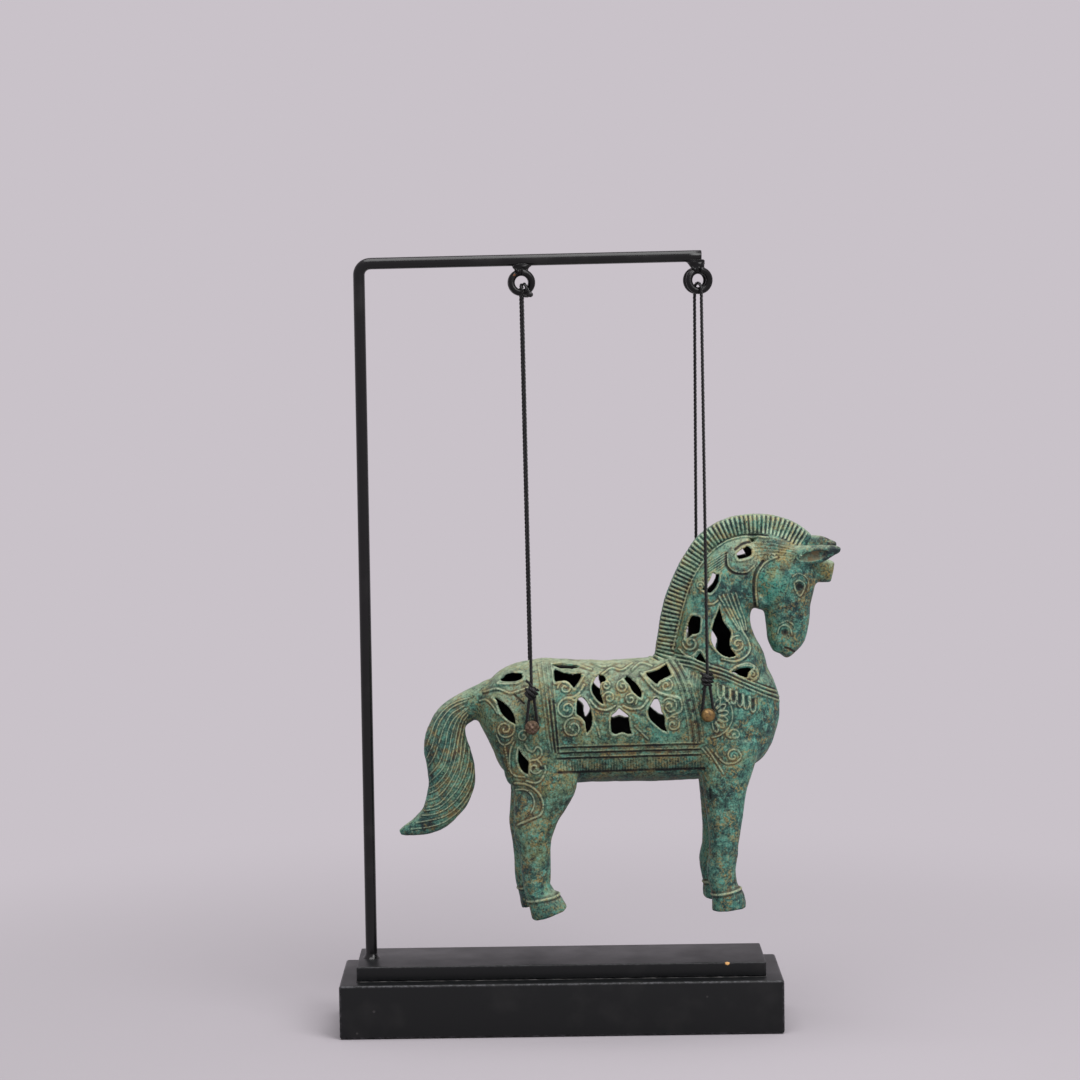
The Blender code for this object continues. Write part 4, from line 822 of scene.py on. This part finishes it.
# cast in one skin: each point learns how far it stands off the plain skin, then the carving moves it
casting = fuse(solid, carving["voxel"], 1)
casting.name = "horse_casting_skin"
mesh = casting.data
points, normals = readOut(mesh, "co") / mm, readOut(mesh, "normal")
count = len(points)
stand = np.empty(count)
for i, point in enumerate(points.tolist()):
    spot, out, _, _ = solidTree.find_nearest(point)
    stand[i] = (point[0] - spot.x) * out.x + (point[1] - spot.y) * out.y + (point[2] - spot.z) * out.z
outer = np.clip((stand + 0.55) / 0.35, 0, 1)  # 1 on the outer skin, 0 inside
# 1 where the outer skin faces its own side, so that lines do not run over edges
sideways = np.clip((np.sign(points[:, 1]) * normals[:, 1] - 0.1) / 0.3, 0, 1) * outer
seen = (np.stack([points[:, 0], -np.abs(points[:, 1]), points[:, 2]], 1) - view["place"]) @ np.array(turnCam)
across = (view["frame"] / 2 - view["focal"] * seen[:, 0] / seen[:, 2] - left) * fine
down = (view["frame"] / 2 + view["focal"] * seen[:, 1] / seen[:, 2] - top) * fine


def readMap(name):  # map values under each point, by its side
    out = np.zeros(count)
    for far in (False, True):
        cells = rims[far][name]
        mine = (points[:, 1] > 0) == far
        r = np.clip(down[mine], 0, cells.shape[0] - 1.01)
        c = np.clip(across[mine], 0, cells.shape[1] - 1.01)
        i, j = r.astype(int), c.astype(int)
        r, c = r - i, c - j
        out[mine] = ((1 - r) * ((1 - c) * cells[i, j] + c * cells[i, j + 1])
                     + r * ((1 - c) * cells[i + 1, j] + c * cells[i + 1, j + 1]))
    return out * sideways


ridge, flank, groove, swell = (readMap(name) for name in mapNames)
groove = np.maximum(groove, np.clip(flank - 1.15 * ridge, 0, 1))

# mane: rounded ribs square to the crest, all the way over it
crest = evenly(smoothPath([row[:2] + row[3:4] for row in horse["crest"]], 12), 0.4)
along = np.gradient(crest[:, :2], axis=0)
along /= np.linalg.norm(along, axis=1, keepdims=True)
lookup = KDTree(len(crest))
for k, (x, z, _) in enumerate(crest):
    lookup.insert((x + horse["shift"], 0, z), k)
lookup.balance()
run = np.arange(len(crest)) * np.linalg.norm(crest[1, :2] - crest[0, :2])
maneDepth = carving["maneDepth"]
x, y, z = points.T
for i in np.flatnonzero((x > 46) & (z > 184) & (np.abs(y) < 8.5) & (stand > -0.4)):  # round the crest
    spot, k, _ = lookup.find((x[i], 0, z[i]))
    dx, dz = along[k]
    rise = (z[i] - spot.z) * dx - (x[i] - spot.x) * dz
    ahead = (x[i] - spot.x) * dx + (z[i] - spot.z) * dz
    if 4 < k < len(crest) - 8 and -maneDepth < rise < crest[k, 2] + 2.5 and abs(ahead) < 1.5:
        wave = math.cos(math.tau * (run[k] + ahead) / carving["maneRibs"])
        fade = min(max((rise + maneDepth) / 1.2, 0), 1) * min(max((abs(y[i]) - 1.6) / 1.6, 0.12), 1)
        ridge[i] = max(ridge[i], fade * max(0.25 + 0.75 * wave, 0))
        groove[i] = max(groove[i], fade * max(-0.3 - 1.2 * wave, 0))

# coronets: a raised edge over each hoof
for name in ("hind", "fore"):
    for side in (-1, 1):
        x, z, y, tall, wide = legRows(name, side)[1][0]
        off = points - (x + horse["shift"], side * y, z - 0.4)
        near = (np.abs(off[:, 0]) < tall + 3) & (np.abs(off[:, 1]) < wide + 3)
        edge = np.where(near, np.abs(off[:, 2] - 0.2 * off[:, 0]), 9)
        ridge = np.maximum(ridge, np.exp(-(edge / 0.7) ** 2))
        groove = np.maximum(groove, np.clip(np.exp(-(edge / 1.5) ** 2) - np.exp(-(edge / 0.8) ** 2), 0, 1))

lift = carving["ridge"] * ridge - carving["groove"] * np.minimum(groove, 1.2) + carving["swell"] * swell
for size, high in carving["lumps"]:
    lift += high * outer * np.array([noise.noise(point) for point in (points / size).tolist()])
points += normals * lift[:, None]
mesh.vertices.foreach_set("co", (points * mm).ravel())
mesh.update()
marks = {"stand": stand, "skyward": readOut(mesh, "normal")[:, 2], "ridge": ridge, "groove": groove}
for name, values in marks.items():
    mesh.attributes.new(name, "FLOAT", "POINT").data.foreach_set("value", values.astype(np.float32))
mesh.shade_smooth()
print("casting", count)
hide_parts("horse_casting")
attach(casting, "horse")

# cast bronze under a chemical verdigris patina: blotched turquoise and olive, ochre on worn lines,
# black in the grooves
patina = {
    "noises": {  # size in mm, detail, grit, swirl
        "region": (42.0, 4.0, 0.6, 0.0), "blotch": (13.0, 8.0, 0.62, 0.8), "mottle": (3.4, 8.0, 0.74, 0.0),
        "stain": (9.0, 7.0, 0.7, 0.5), "grain": (1.05, 3.0, 0.6, 0.0), "fleck": (1.5, 3.0, 0.6, 0.6),
    },
    "pitSize": 1.5,
    "olive": [(0.35, "#182928"), (0.47, "#48654f"), (0.57, "#6b8061"), (0.7, "#857e4c")],
    "teal": [(0.35, "#14242a"), (0.47, "#37675e"), (0.57, "#548b79"), (0.7, "#7a946c")],
    "oliveMiddle": (12, 0, 152),
    "oliveBroken": 90,  # mm by which the border wanders
    "bright": "#5fae9c",
    "pale": "#9fbca2",
    "crest": "#b4c0a0",
    # dark blue-green: specks and ear tips, and painted shade on what faces down
    "speck": "#16242a",
    "ochre": "#a58f55",
    "rust": "#7a5630",
    "grime": "#0d1414",
    "inside": "#050606",
    "earInside": "#75664a",
    # pale sage: dust, and painted light from above on what faces up
    "dust": "#a4ab8e",
    # on each side: x, y, z in mm, radius, colour, strength; worn and stained places in ochre and olive, pale,
    # turquoise and dark blue-green patches, a painted highlight on the upper cheek, painted shade on the
    # lower cheek and along the tail's left edge
    "patches": [
        # a painted highlight on the upper cheek, then an ochre stain
        ((110, 12, 230.5), 8, "#46a08e", 0.8), ((113, 11, 237), 4, "#9a8a4c", 0.7),
        # painted shade on the lower cheek, then a pale patch
        ((120, 10, 219), 7, "#1a2a31", 0.75), ((101, 11, 249), 10, "#b4b793", 0.65),
        ((118, 9, 246), 6, "#ab9a5c", 0.6), ((-10, 18, 128), 9, "#66703f", 0.6),
        ((-12, 24, 95), 7, "#777a4a", 0.6), ((-20, 20, 176), 9, "#93a68f", 0.5),
        ((144, 12, 249.5), 8, "#171f1f", 0.9), ((140, 2, 238), 6, "#7d7a42", 0.7),
        # painted shade along the tail's left edge
        ((-66, 3, 147), 8, "#1e2d31", 0.65), ((-62, 5, 164), 5, "#1e2d31", 0.5),
        ((107, 14, 154), 10, "#1f3036", 0.65), ((105, 12, 190), 7, "#1d2b31", 0.6),
        ((-18, 22, 120), 9, "#25343a", 0.75), ((2, 20, 117), 8, "#24332f", 0.7),
        ((-16, 22, 87), 5, "#202e33", 0.55), ((80, 22, 90), 6, "#1f2e33", 0.55),
        ((79, 22, 124), 6, "#25352f", 0.6), ((6, 24, 175), 8, "#5fa897", 0.55),
        ((54, 24, 158), 8, "#55a391", 0.6), ((90, 12, 225), 6, "#20302f", 0.55)],
}
verdigris, tree, shader = newMaterial("verdigris patina on cast bronze")
place = addNode(tree, "TexCoord").outputs["Object"]
sides = addNode(tree, "SeparateXYZ", links={0: place}).outputs
level = addNode(tree, "Math", {"operation": "ABSOLUTE"}, {0: sides["Y"]}).outputs[0]
mirrored = addNode(tree, "CombineXYZ", links={0: sides["X"], 1: level, 2: sides["Z"]}).outputs[0]
stands, skyward, ridges, grooves = (
    addNode(tree, "Attribute", {"attribute_name": name}).outputs["Fac"] for name in marks)
noises = []
for size, detail, grit, swirl in patina["noises"].values():
    settings = {"Scale": 1000 / size, "Detail": detail, "Roughness": grit, "Distortion": swirl}
    noises.append(addNode(tree, "TexNoise", settings, {"Vector": place}).outputs["Fac"])
region, blotch, mottle, stain, grain, fleck = noises
# olive over the trunk, teal towards the ends, the border broken up
middle = {"operation": "DISTANCE", 1: tuple(c * mm for c in patina["oliveMiddle"])}
away = addNode(tree, "VectorMath", middle, {0: place}).outputs["Value"]
broken = {"operation": "MULTIPLY_ADD", 1: patina["oliveBroken"] * mm}
away = addNode(tree, "Math", broken, {0: region, 2: away}).outputs[0]
olive, teal = (addNode(tree, "ValToRGB", {"stops": patina[name]}, {"Fac": blotch}).outputs["Color"]
               for name in ("olive", "teal"))
tones = {0: meeting([(away, 0.085, 0.14)]), 6: olive, 7: teal}
layer = addNode(tree, "Mix", {"data_type": "RGBA"}, tones).outputs[2]
# spots of colour on each side: stains, a painted highlight and painted shade
layer = spotted(layer, mirrored, mottle, patina["patches"], ragged=1.6, start=2.1, full=1.3)
worn = ((ridges, 0.45, 1.0), (grain, 0.34, 0.5, 0.88))
coats = [  # colour, then the masks that have to meet: value, where it starts, where it is full, strength
    ("bright", (mottle, 0.48, 0.6, 0.6), (fleck, 0.4, 0.54)),
    ("ochre", (stain, 0.46, 0.59, 0.9), (fleck, 0.56, 0.44, 0.8)),
    ("pale", (mottle, 0.47, 0.61, 0.5), (grain, 0.5, 0.6)),
    ("speck", (mottle, 0.6, 0.42, 0.88), (grain, 0.52, 0.42)),
    # dust and light wear, with painted light from above: paler on what faces up; painted shade: darker on
    # what faces down
    ("dust", (skyward, 0.2, 0.95, 0.75), (mottle, 0.34, 0.56)),
    ("speck", (skyward, -0.45, -0.95, 0.6)),
    # grooves hold black wax with rust at their edge; ridges are worn pale, ochre in patches
    ("rust", (grooves, 0.1, 0.4, 0.7), (stain, 0.46, 0.58)),
    ("grime", (grooves, 0.12, 0.55, 0.97), (blotch, 0.86, 0.5), (grain, 0.84, 0.58)),
    ("crest", *worn),
    ("ochre", *worn, (stain, 0.47, 0.56, 0.85)),
    ("grime", (grooves, 1.0, 1.3, 0.95)),
    # ear tips, the ears' hollows and the inside of the trunk
    ("speck", (sides["X"], 0.126, 0.139), (sides["Z"], 0.2415, 0.2445), (mottle, 0.66, 0.44, 0.8)),
    ("earInside", (sides["X"], 0.118, 0.121), (stands, -0.4, -1.0), (stain, 0.36, 0.54)),
    ("inside", (sides["X"], 0.121, 0.118), (stands, -0.4, -1.1)),
]
for name, *masks in coats:
    layer = coat(layer, patina[name], masks)
metal = addNode(tree, "MapRange", {"To Min": 0.05, "To Max": 0.25}, {"Value": meeting(worn)})
tree.links.new(metal.outputs[0], shader.inputs["Metallic"])
shader.inputs["Specular IOR Level"].default_value = 0.35
pits = addNode(tree, "TexVoronoi", {"Scale": 1000 / patina["pitSize"]}, {"Vector": place})
pitted = meeting([(pits.outputs["Distance"], 0.05, 0.3), (mottle, 0.6, 0.4)])
height = addNode(tree, "Math", {"operation": "ADD"}, {0: grain, 1: pitted}).outputs[0]
dress(shader, layer, mottle, (0.35, 0.65, 0.46, 0.68), (height, 0.5, 0.4))
mesh.materials.clear()
mesh.materials.append(verdigris)
print("patina ready")

# base: two blocks of MDF, sprayed satin black
base = {
    "plinth": (230.0, 63.0, 28.0),
    "plinthRound": 1.4,
    "inset": 8.7,
    "stepHeight": 7.9,
    "stepRound": 0.8,
    "gap": 0.3,
    "barX": -99.6,
    "nutRecess": (9.0, 11.0),     # radius, depth
    "screwRecess": (5.0, 10.0),
    "screwX": 75.0,
    "paint": "#0e1011",
    "worn": "#4a4847",
    "arris": "#75747a",
    # pale edges: rubbed paint, and a painted highlight along them
    "chip": "#e3ad6c",
    "peelSize": 1.6,
    "cloudSize": 22.0,
    "rubAndHighlightWidth": 1.3,
}


def spray(name, colour, roughness, peel, box=None, marks=(), shine=0.3):
    # sprayed satin enamel: faint orange peel, patchy gloss; a box (middle, size, strength) gets pale edges:
    # rubbed paint and a painted highlight along each edge
    made, tree, shader = newMaterial(name)
    place = addNode(tree, "TexCoord").outputs["Object"]
    cloud, fine = (
        addNode(tree, "TexNoise", {"Scale": 1000 / size, "Detail": detail}, {"Vector": place}).outputs["Fac"]
        for size, detail in ((base["cloudSize"], 6.0), (peel, 3.0)))
    tones = {"data_type": "RGBA", 6: toLinear(colour), 7: toLinear(base["worn"])}
    tone = addNode(tree, "Mix", tones, {0: meeting([(cloud, 0.55, 0.9, 0.22)])}).outputs[2]
    shader.inputs["Specular IOR Level"].default_value = shine
    if box:
        middle, size, strength = box
        off = {"operation": "SUBTRACT", 1: tuple(c * mm for c in middle)}
        off = addNode(tree, "VectorMath", off, {0: place}).outputs[0]
        off = addNode(tree, "VectorMath", {"operation": "ABSOLUTE"}, {0: off}).outputs[0]
        sides = addNode(tree, "SeparateXYZ", links={0: off}).outputs
        near = [meeting([(sides[k], (size[k] / 2 - base["rubAndHighlightWidth"]) * mm, size[k] / 2 * mm)])
                for k in range(3)]
        rubAndHighlight = None
        for k in range(3):  # an edge is near two sides at once
            edge = addNode(tree, "Math", {"operation": "MINIMUM"}, {0: near[k], 1: near[k - 1]}).outputs[0]
            if rubAndHighlight:
                edge = addNode(tree, "Math", {"operation": "MAXIMUM"}, {0: rubAndHighlight, 1: edge}).outputs[0]
            rubAndHighlight = edge
        # pale edges: rubbed paint, and a painted highlight
        tone = coat(tone, base["arris"], [(rubAndHighlight, 0.0, 1.0), (fine, 0.42, 0.7, strength)])
    tone = spotted(tone, place, fine, marks, ragged=1.2, start=1.45, full=1.25)  # scuffs and chips
    dress(shader, tone, cloud, (0.3, 0.7, roughness - 0.06, roughness + 0.08), (fine, 0.25, 0.12))
    return made


def block(name, size, middle, rounding, holes, material):
    shape = newShape()
    corners = [(i, j, k) for k in (-1, 1) for j in (-1, 1) for i in (-1, 1)]
    gather(shape, np.array(corners) * size / 2 + middle,
           [(0, 2, 3, 1), (4, 5, 7, 6), (0, 1, 5, 4), (2, 6, 7, 3), (0, 4, 6, 2), (1, 3, 7, 5)])
    made = toObject(name, shape, material, smooth=False)
    step = made.modifiers.new("round", "BEVEL")
    step.width = rounding * mm
    step.segments = 5
    settle(made)
    if holes:
        cut = newShape()
        for holeX, (radius, high) in holes:
            turnProfile(cut, [(radius, -2), (radius, high)], 40, (holeX, 0, 0))
        cutAway(made, cut, "EXACT")
    made.data.shade_smooth()
    made.data.set_sharp_from_angle(angle=math.radians(24))
    return made


length, depth, plinthHeight = base["plinth"]
top = plinthHeight + base["stepHeight"]
plinthMiddle = (0, 0, plinthHeight / 2)
plinthPaint = spray(
    "satin black enamel on the plinth", base["paint"], 0.42, base["peelSize"],
    (plinthMiddle, base["plinth"], 0.6),
    [((-97, -31.5, 14.5), 0.9, "#4a4848", 0.5), ((-106, -31.5, 3.2), 0.9, "#504e4d", 0.5),
     ((75, -31.5, 20), 0.8, "#454343", 0.5), ((30, 31.5, 9), 0.8, "#5c5958", 0.6)])
recesses = [(base["barX"], base["nutRecess"]), (-base["screwX"], base["screwRecess"]),
            (base["screwX"], base["screwRecess"])]
plinth = block("plinth_block", base["plinth"], plinthMiddle, base["plinthRound"], recesses, plinthPaint)
stepSize = (length - 2 * base["inset"], depth - 2 * base["inset"], base["stepHeight"] - base["gap"])
stepMiddle = (0, 0, top - stepSize[2] / 2)
stepPaint = spray(
    "satin black enamel on the step", base["paint"], 0.4, base["peelSize"], (stepMiddle, stepSize, 0.2),
    [((86, -stepSize[1] / 2, top - 0.3), 1.5, base["chip"], 1.0)])
stepBlock = block("step_block", stepSize, stepMiddle, base["stepRound"], [], stepPaint)
for made, node in ((plinth, "base_plinth"), (stepBlock, "base_step")):
    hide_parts(node)
    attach(made, "stand")

# dried wood glue and dust in the joint round the step's foot: dull grey crumbs on black
glue = clouded("dried glue line", 4.0, 5.0, [(0.42, "#1d1d1e"), (0.66, "#5d5b5a")], 0.75)
shape = newShape()
x, y = stepSize[0] / 2 + 0.05, stepSize[1] / 2 + 0.05
loop = evenly([(-x, -y, 0), (x, -y, 0), (x, y, 0), (-x, y, 0), (-x, -y, 0)], 1.2)
loop += (0, 0, plinthHeight + 0.12)
run = np.arange(len(loop))
wobble = 0.2 + 0.07 * np.sin(run * 0.61) + 0.05 * np.sin(run * 1.73)
sweep(shape, loop, wobble, 8)
seam = toObject("step_glue_line", shape, glue)
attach(seam, "stand")
print("base ready")

# gallows: one bent round bar, sprayed black, with two welded coil eyes
gallows = {
    "diameter": 6.0,
    "armHeight": 399.3,
    "rise": 1.7,
    "endX": 77.0,
    "bend": 5.8,
    "foot": 2.3,
    "eyeRadius": 5.2,
    "wire": 3.5,
    "pitch": 4.0,
    "turns": 2,
    "eyes": {"front": (75.3, 12.7, 18.0), "rear": (-15.8, 11.6, 5.0)},  # x, drop, yaw in degrees
    "flare": {"front": (7.0, 3.6), "rear": (5.2, 5.6)},  # reach of the weld along the arm
    "weldCorners": 28,
    "weldHalf": 2.9,  # across the arm
    "paint": "#070708",
    "rust": "#6b3f22",
}


def armZ(x):
    return gallows["armHeight"] + gallows["rise"] * (x - base["barX"]) / (gallows["endX"] - base["barX"])


barX, bend, endX = base["barX"], gallows["bend"], gallows["endX"]
path = [(barX, 0, z) for z in np.linspace(gallows["foot"], armZ(barX) - bend - 0.5, 24)]
path += [(barX + bend * (1 - math.cos(a)), 0, armZ(barX) - bend * (1 - math.sin(a)))
         for a in np.linspace(0, math.pi / 2, 14)]
path += [(x, 0, armZ(x)) for x in np.linspace(barX + bend + 0.5, endX, 24)]
radius = np.full(len(path), gallows["diameter"] / 2)
path.append((endX + 0.25, 0, armZ(endX)))
radius = np.append(radius, gallows["diameter"] / 2 - 0.3)  # broken edge of the cut
barPaint = spray("satin black enamel on steel bar", gallows["paint"], 0.22, 0.9, shine=0.4)
shape = newShape()
sweep(shape, path, radius, 32)
collar = [(3.05, top - 0.2), (4.5, top + 0.02), (4.0, top + 0.5), (3.4, top + 1.3), (3.05, top + 2.4)]
turnProfile(shape, collar, 32, (barX, 0, 0))  # paint fillet at the foot
bar = toObject("gallows_round_bar", shape, barPaint)
bar.data.set_sharp_from_angle(angle=math.radians(50))
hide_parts("gallows_bar")
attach(bar, "stand")


def yawed(path, x, yaw):
    c, s = math.cos(math.radians(yaw)), math.sin(math.radians(yaw))
    path = np.array(path, float)
    across = path[:, 0] - x
    return np.stack([x + across * c - path[:, 1] * s, across * s + path[:, 1] * c, path[:, 2]], 1)


def weld(shape, x, low, high, left, right):  # a lumpy web from the eye up to the arm, with beads in front
    web = [(low, 3.6, 3.6), (low + 1.0, 3.3, 3.3), (low + 2.1, 3.4, 3.4),
           (high - 0.7, 0.45 * left + 2, 0.45 * right + 2), (high - 0.1, 0.8 * left + 0.6, 0.8 * right + 0.6),
           (high + 0.5, left, right), (high + 1.2, left - 0.4, right - 0.4)]
    web = smoothPath(web, 3)
    corners = gallows["weldCorners"]
    rings = []
    for z, west, east in web:
        for a in np.arange(corners) * math.tau / corners:
            lump = 1 + 0.05 * math.sin(3 * a + 2.2 * z) + 0.04 * math.sin(5 * a - 3.1 * z)
            reach = east if math.cos(a) > 0 else west
            rings.append((x + reach * math.cos(a) * lump, gallows["weldHalf"] * math.sin(a) * lump, z))
    gather(shape, rings, ringFaces(len(web), corners))
    for k in range(6):
        ball(shape, (x - 2.6 + 1.05 * k, -2.3 - 0.25 * (k % 2), low + 1.7 + 0.5 * math.cos(2.3 * k)),
             (0.9, 0.7, 0.9 + 0.2 * math.sin(k)), rows=8, corners=12)


for end, (x, drop, yaw) in gallows["eyes"].items():
    eyeZ = armZ(x) - drop
    shape = newShape()
    turn = np.linspace(0, gallows["turns"], 97)
    coil = np.stack([x + gallows["eyeRadius"] * np.sin(turn * math.tau),
                     gallows["pitch"] * (turn - gallows["turns"] / 2),
                     eyeZ + gallows["eyeRadius"] * np.cos(turn * math.tau)], 1)
    sweep(shape, yawed(coil, x, yaw), gallows["wire"] / 2, 18)
    low, high = eyeZ + gallows["eyeRadius"] - 0.9, armZ(x) - gallows["diameter"] / 2
    weld(shape, x, low, high, *gallows["flare"][end])
    rust = [((x - 3.6, -2.6, eyeZ + 4.0), 0.8, gallows["rust"], 0.9)] if end == "rear" else []
    paint = spray(f"satin black enamel on the {end} eye", gallows["paint"], 0.3, 0.9, marks=rust)
    eye = toObject(f"{end}_coil_eye", shape, paint)
    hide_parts(f"{end}_eye")
    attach(eye, "stand")
print("gallows ready")

# slings: black three-strand twisted polyester cord, near black with a faint silky sheen on the strands
sling = {
    "diameter": 1.7,
    "lay": 6.2,  # mm for one full twist
    "lane": 26.9,
    "knotAbovePin": 17.8,
    "knot": (7.2, 7.5),  # width, height
    "wraps": 3,
    "bight": {"reach": 4.9, "rise": 4.0, "shoulder": 1.0, "leg": 2.2},  # over the eye's two wires
    "strandGap": 0.6,
    "farKnotBack": {"front": 2.6, "rear": 1.0},
    "pinRadius": 1.6,
    "loopSlack": 0.6,
    "looseDiameter": 1.5,
    "loose": {  # each end's knot: lean in degrees, then its cut ends as x and z from the knot
        "rear": (34, [[(0.3, 2.4), (-1.0, 4.9), (-2.9, 6.6)], [(0.5, 0.4), (-1.6, 1.4), (-3.3, 2.3)],
                      [(0.5, -1.6), (-1.2, -1.0), (-3.0, -0.8)]]),
        "front": (4, [[(0.6, 1.6), (-1.8, 2.6), (-3.7, 3.6)], [(-0.6, -2.4), (-1.8, -4.0), (-2.8, -5.3)]]),
    },
    "hitchTail": [(1.3, -2.0, 4.5), (2.0, -5.0, 4.0), (3.4, -6.8, 1.2), (4.4, -6.9, -0.5)],
    "tones": [(0.35, "#040404"), (0.75, "#161619")],
    "fibre": 0.64,  # drawn coarser than the real filament so that it shows
}
cordMat = clouded("black twisted polyester cord", sling["fibre"], 3.0, sling["tones"], 0.4, specular=0.4,
                  bump=(0.4, 0.1))


def twist(shape, path, diameter=sling["diameter"], phase=0.0):  # three strands laid round a path
    path = evenly(path, 0.55)
    one, two = carriedFrames(path)
    run = np.concatenate([[0], np.cumsum(np.linalg.norm(np.diff(path, axis=0), axis=1))])
    strand = diameter / 4.31
    off = diameter / 2 - strand
    for k in range(3):
        angle = (run / sling["lay"] + k / 3 + phase) * math.tau
        around = path + off * (np.cos(angle)[:, None] * one + np.sin(angle)[:, None] * two)
        sweep(shape, around, strand * 1.1, 7)


def knot(shape, middle, lean):  # wraps of cord drawn tight round the strand, leaning to the right at the top
    width, height = (size - sling["diameter"] for size in sling["knot"])
    t = np.linspace(0, 1, 100)
    turns = t * sling["wraps"] * math.tau
    belly = width / 2 * (0.72 + 0.28 * np.sin(math.pi * t))
    path = np.stack([belly * np.cos(turns), 0.85 * belly * np.sin(turns), height * (0.5 - t)], 1)
    turn = np.array(Matrix.Rotation(math.radians(lean), 3, "Y"))
    twist(shape, path @ turn.T + middle)
    ball(shape, middle, (width / 2 - 0.3, width / 2 - 0.7, height / 2 - 0.3), turn)


for end, (x, z) in horse["pins"].items():
    eyeX, drop, yaw = gallows["eyes"][end]
    reach, rise, shoulder, leg = sling["bight"].values()
    low = armZ(eyeX) - drop - gallows["eyeRadius"]
    over = [(eyeX, -reach * math.cos(a), low + shoulder + (rise - shoulder) * math.sin(a))
            for a in np.linspace(0, math.pi, 21)]
    shape = newShape()
    twist(shape, yawed([(eyeX, -reach, low - leg), *over, (eyeX, reach, low - leg)], eyeX, yaw))
    if end == "rear":  # cut tail of the hitch, knotted beside the ring
        tail = np.array(sling["hitchTail"]) + (eyeX, 0, low)
        twist(shape, smoothPath(tail, 6))
        twist(shape, smoothPath([tail[-1], tail[-1] + (-1.4, 0.2, -1.3), tail[-1] + (-3.1, 0.4, -0.9)], 6))
        ball(shape, tail[-1] + (0.1, 0, -0.5), (1.5, 1.2, 1.4))
    hitch = toObject(f"{end}_hitch_bight", shape, cordMat)
    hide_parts(f"{end}_hitch")
    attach(hitch, f"{end}_hitch")

    lean, ends = sling["loose"][end]
    around = sling["pinRadius"] + sling["loopSlack"] + sling["diameter"] / 2
    for sideName, side in (("near", -1), ("far", 1)):
        back = sling["farKnotBack"][end] if side > 0 else 0.0
        knotAt = np.array((x - back, side * sling["lane"], z + sling["knotAbovePin"]))
        start = yawed([(eyeX, side * reach, low - leg - sling["strandGap"])], eyeX, yaw)[0]
        strand = [start + (knotAt - start) * t for t in np.linspace(0, 1, 40)]
        shape = newShape()
        twist(shape, [start + (0, 0, sling["strandGap"] + 0.4), *strand], phase=0.2 * side)
        knot(shape, knotAt, lean)
        foot = [(x + around * math.cos(a), side * sling["lane"], z + around * math.sin(a))
                for a in np.radians(np.linspace(172, 368, 17))]
        loop = [knotAt + (-0.6, 0, -1.5), knotAt + (-1.3, 0, -4.0), *foot,
                knotAt + (1.3, 0, -4.0), knotAt + (0.6, 0, -1.5)]
        twist(shape, smoothPath(loop, 5))
        for away in ends:
            path = [knotAt + (dx, 0.9 * side, dz) for dx, dz in away]
            twist(shape, smoothPath(path, 6), sling["looseDiameter"])
        cord = toObject(f"{end}_sling_{sideName}", shape, cordMat)
        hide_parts(f"{end}_cord_{sideName}")
        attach(cord, f"{end}_cords")
print("slings ready")

# pins: turned bronze with a ball head, brown in the pits and smoother where it is rubbed bright;
# the other end is peened over by hammer, dull and dented
pin = {
    "headRadius": 3.65,
    "reach": 28.4,
    "peen": 3.4,
    "tip": 0.02,  # radius at the poles
    "bronze": [(0.36, "#584631"), (0.55, "#977a4d")],
    "raw": [(0.38, "#43332a"), (0.5, "#584631"), (0.66, "#8c7468")],
    "ballSide": {"front": -1, "rear": 1},
}
bronzeMat = clouded("worn cast bronze", 2.4, 6.0, pin["bronze"], (0.35, 0.6, 0.58, 0.34), 0.65, 0.85,
                    bump=(0.35, 0.2))
rawMat = clouded("hammered raw bronze end", 1.6, 5.0, pin["raw"], 0.6, 0.7, 0.35, bump=(0.8, 0.5))
for end, (x, z) in horse["pins"].items():
    facing = pin["ballSide"][end]
    head, shank, reach, tip = pin["headRadius"], sling["pinRadius"], pin["reach"], pin["tip"]
    seat = math.asin(shank / head)
    middle = reach + head * math.cos(seat)
    peened = [(max(head * math.sin(a), tip), -reach - pin["peen"] * math.cos(a))
              for a in np.radians(np.linspace(0, 90, 12))]
    dome = [(max(head * math.sin(a), tip), middle - head * math.cos(a))
            for a in np.linspace(seat, math.pi, 22)]
    profile = [*peened, (head - 0.3, -reach + 0.15), (shank, -reach + 0.15), (shank, reach), *dome]
    shape = newShape()
    turnProfile(shape, profile, 36, (0, 0, 0), "Y")
    points = shape["points"][0]  # profile heights now run along y
    far = points[:, 1] < -reach
    lump = 1 + 0.055 * np.sin(points[:, 0] * 2.1 + 0.7) * np.cos(points[:, 2] * 1.9 + 0.4)
    points[far] *= lump[far][:, None] ** np.array((1, 0.35, 1))
    points[:, 1] *= facing
    shape["points"][0] = points + (x, 0, z)
    made = outwards(toObject(f"{end}_turned_pin", shape, bronzeMat))
    made.data.materials.append(rawMat)
    for face in made.data.polygons:
        if face.center.y * facing < -reach * mm:
            face.material_index = 1
    made.data.set_sharp_from_angle(angle=math.radians(50))
    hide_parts(f"{end}_pin")
    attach(made, "horse")
print("pins ready")

# hidden hardware under the base keeps its CAD shape, in bright zinc plate: pale grey, cloudy gloss
zincTones = [(0.35, "#9a9c9e"), (0.65, "#c3c5c7")]
zincMat = clouded("zinc plated steel", 3.0, 4.0, zincTones, (0.0, 1.0, 0.25, 0.5), metallic=1.0)
for node in ("bar_nut", "bar_washer", "step_screw_left", "step_screw_right"):
    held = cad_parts[node]
    held.data.materials.clear()
    held.data.materials.append(zincMat)
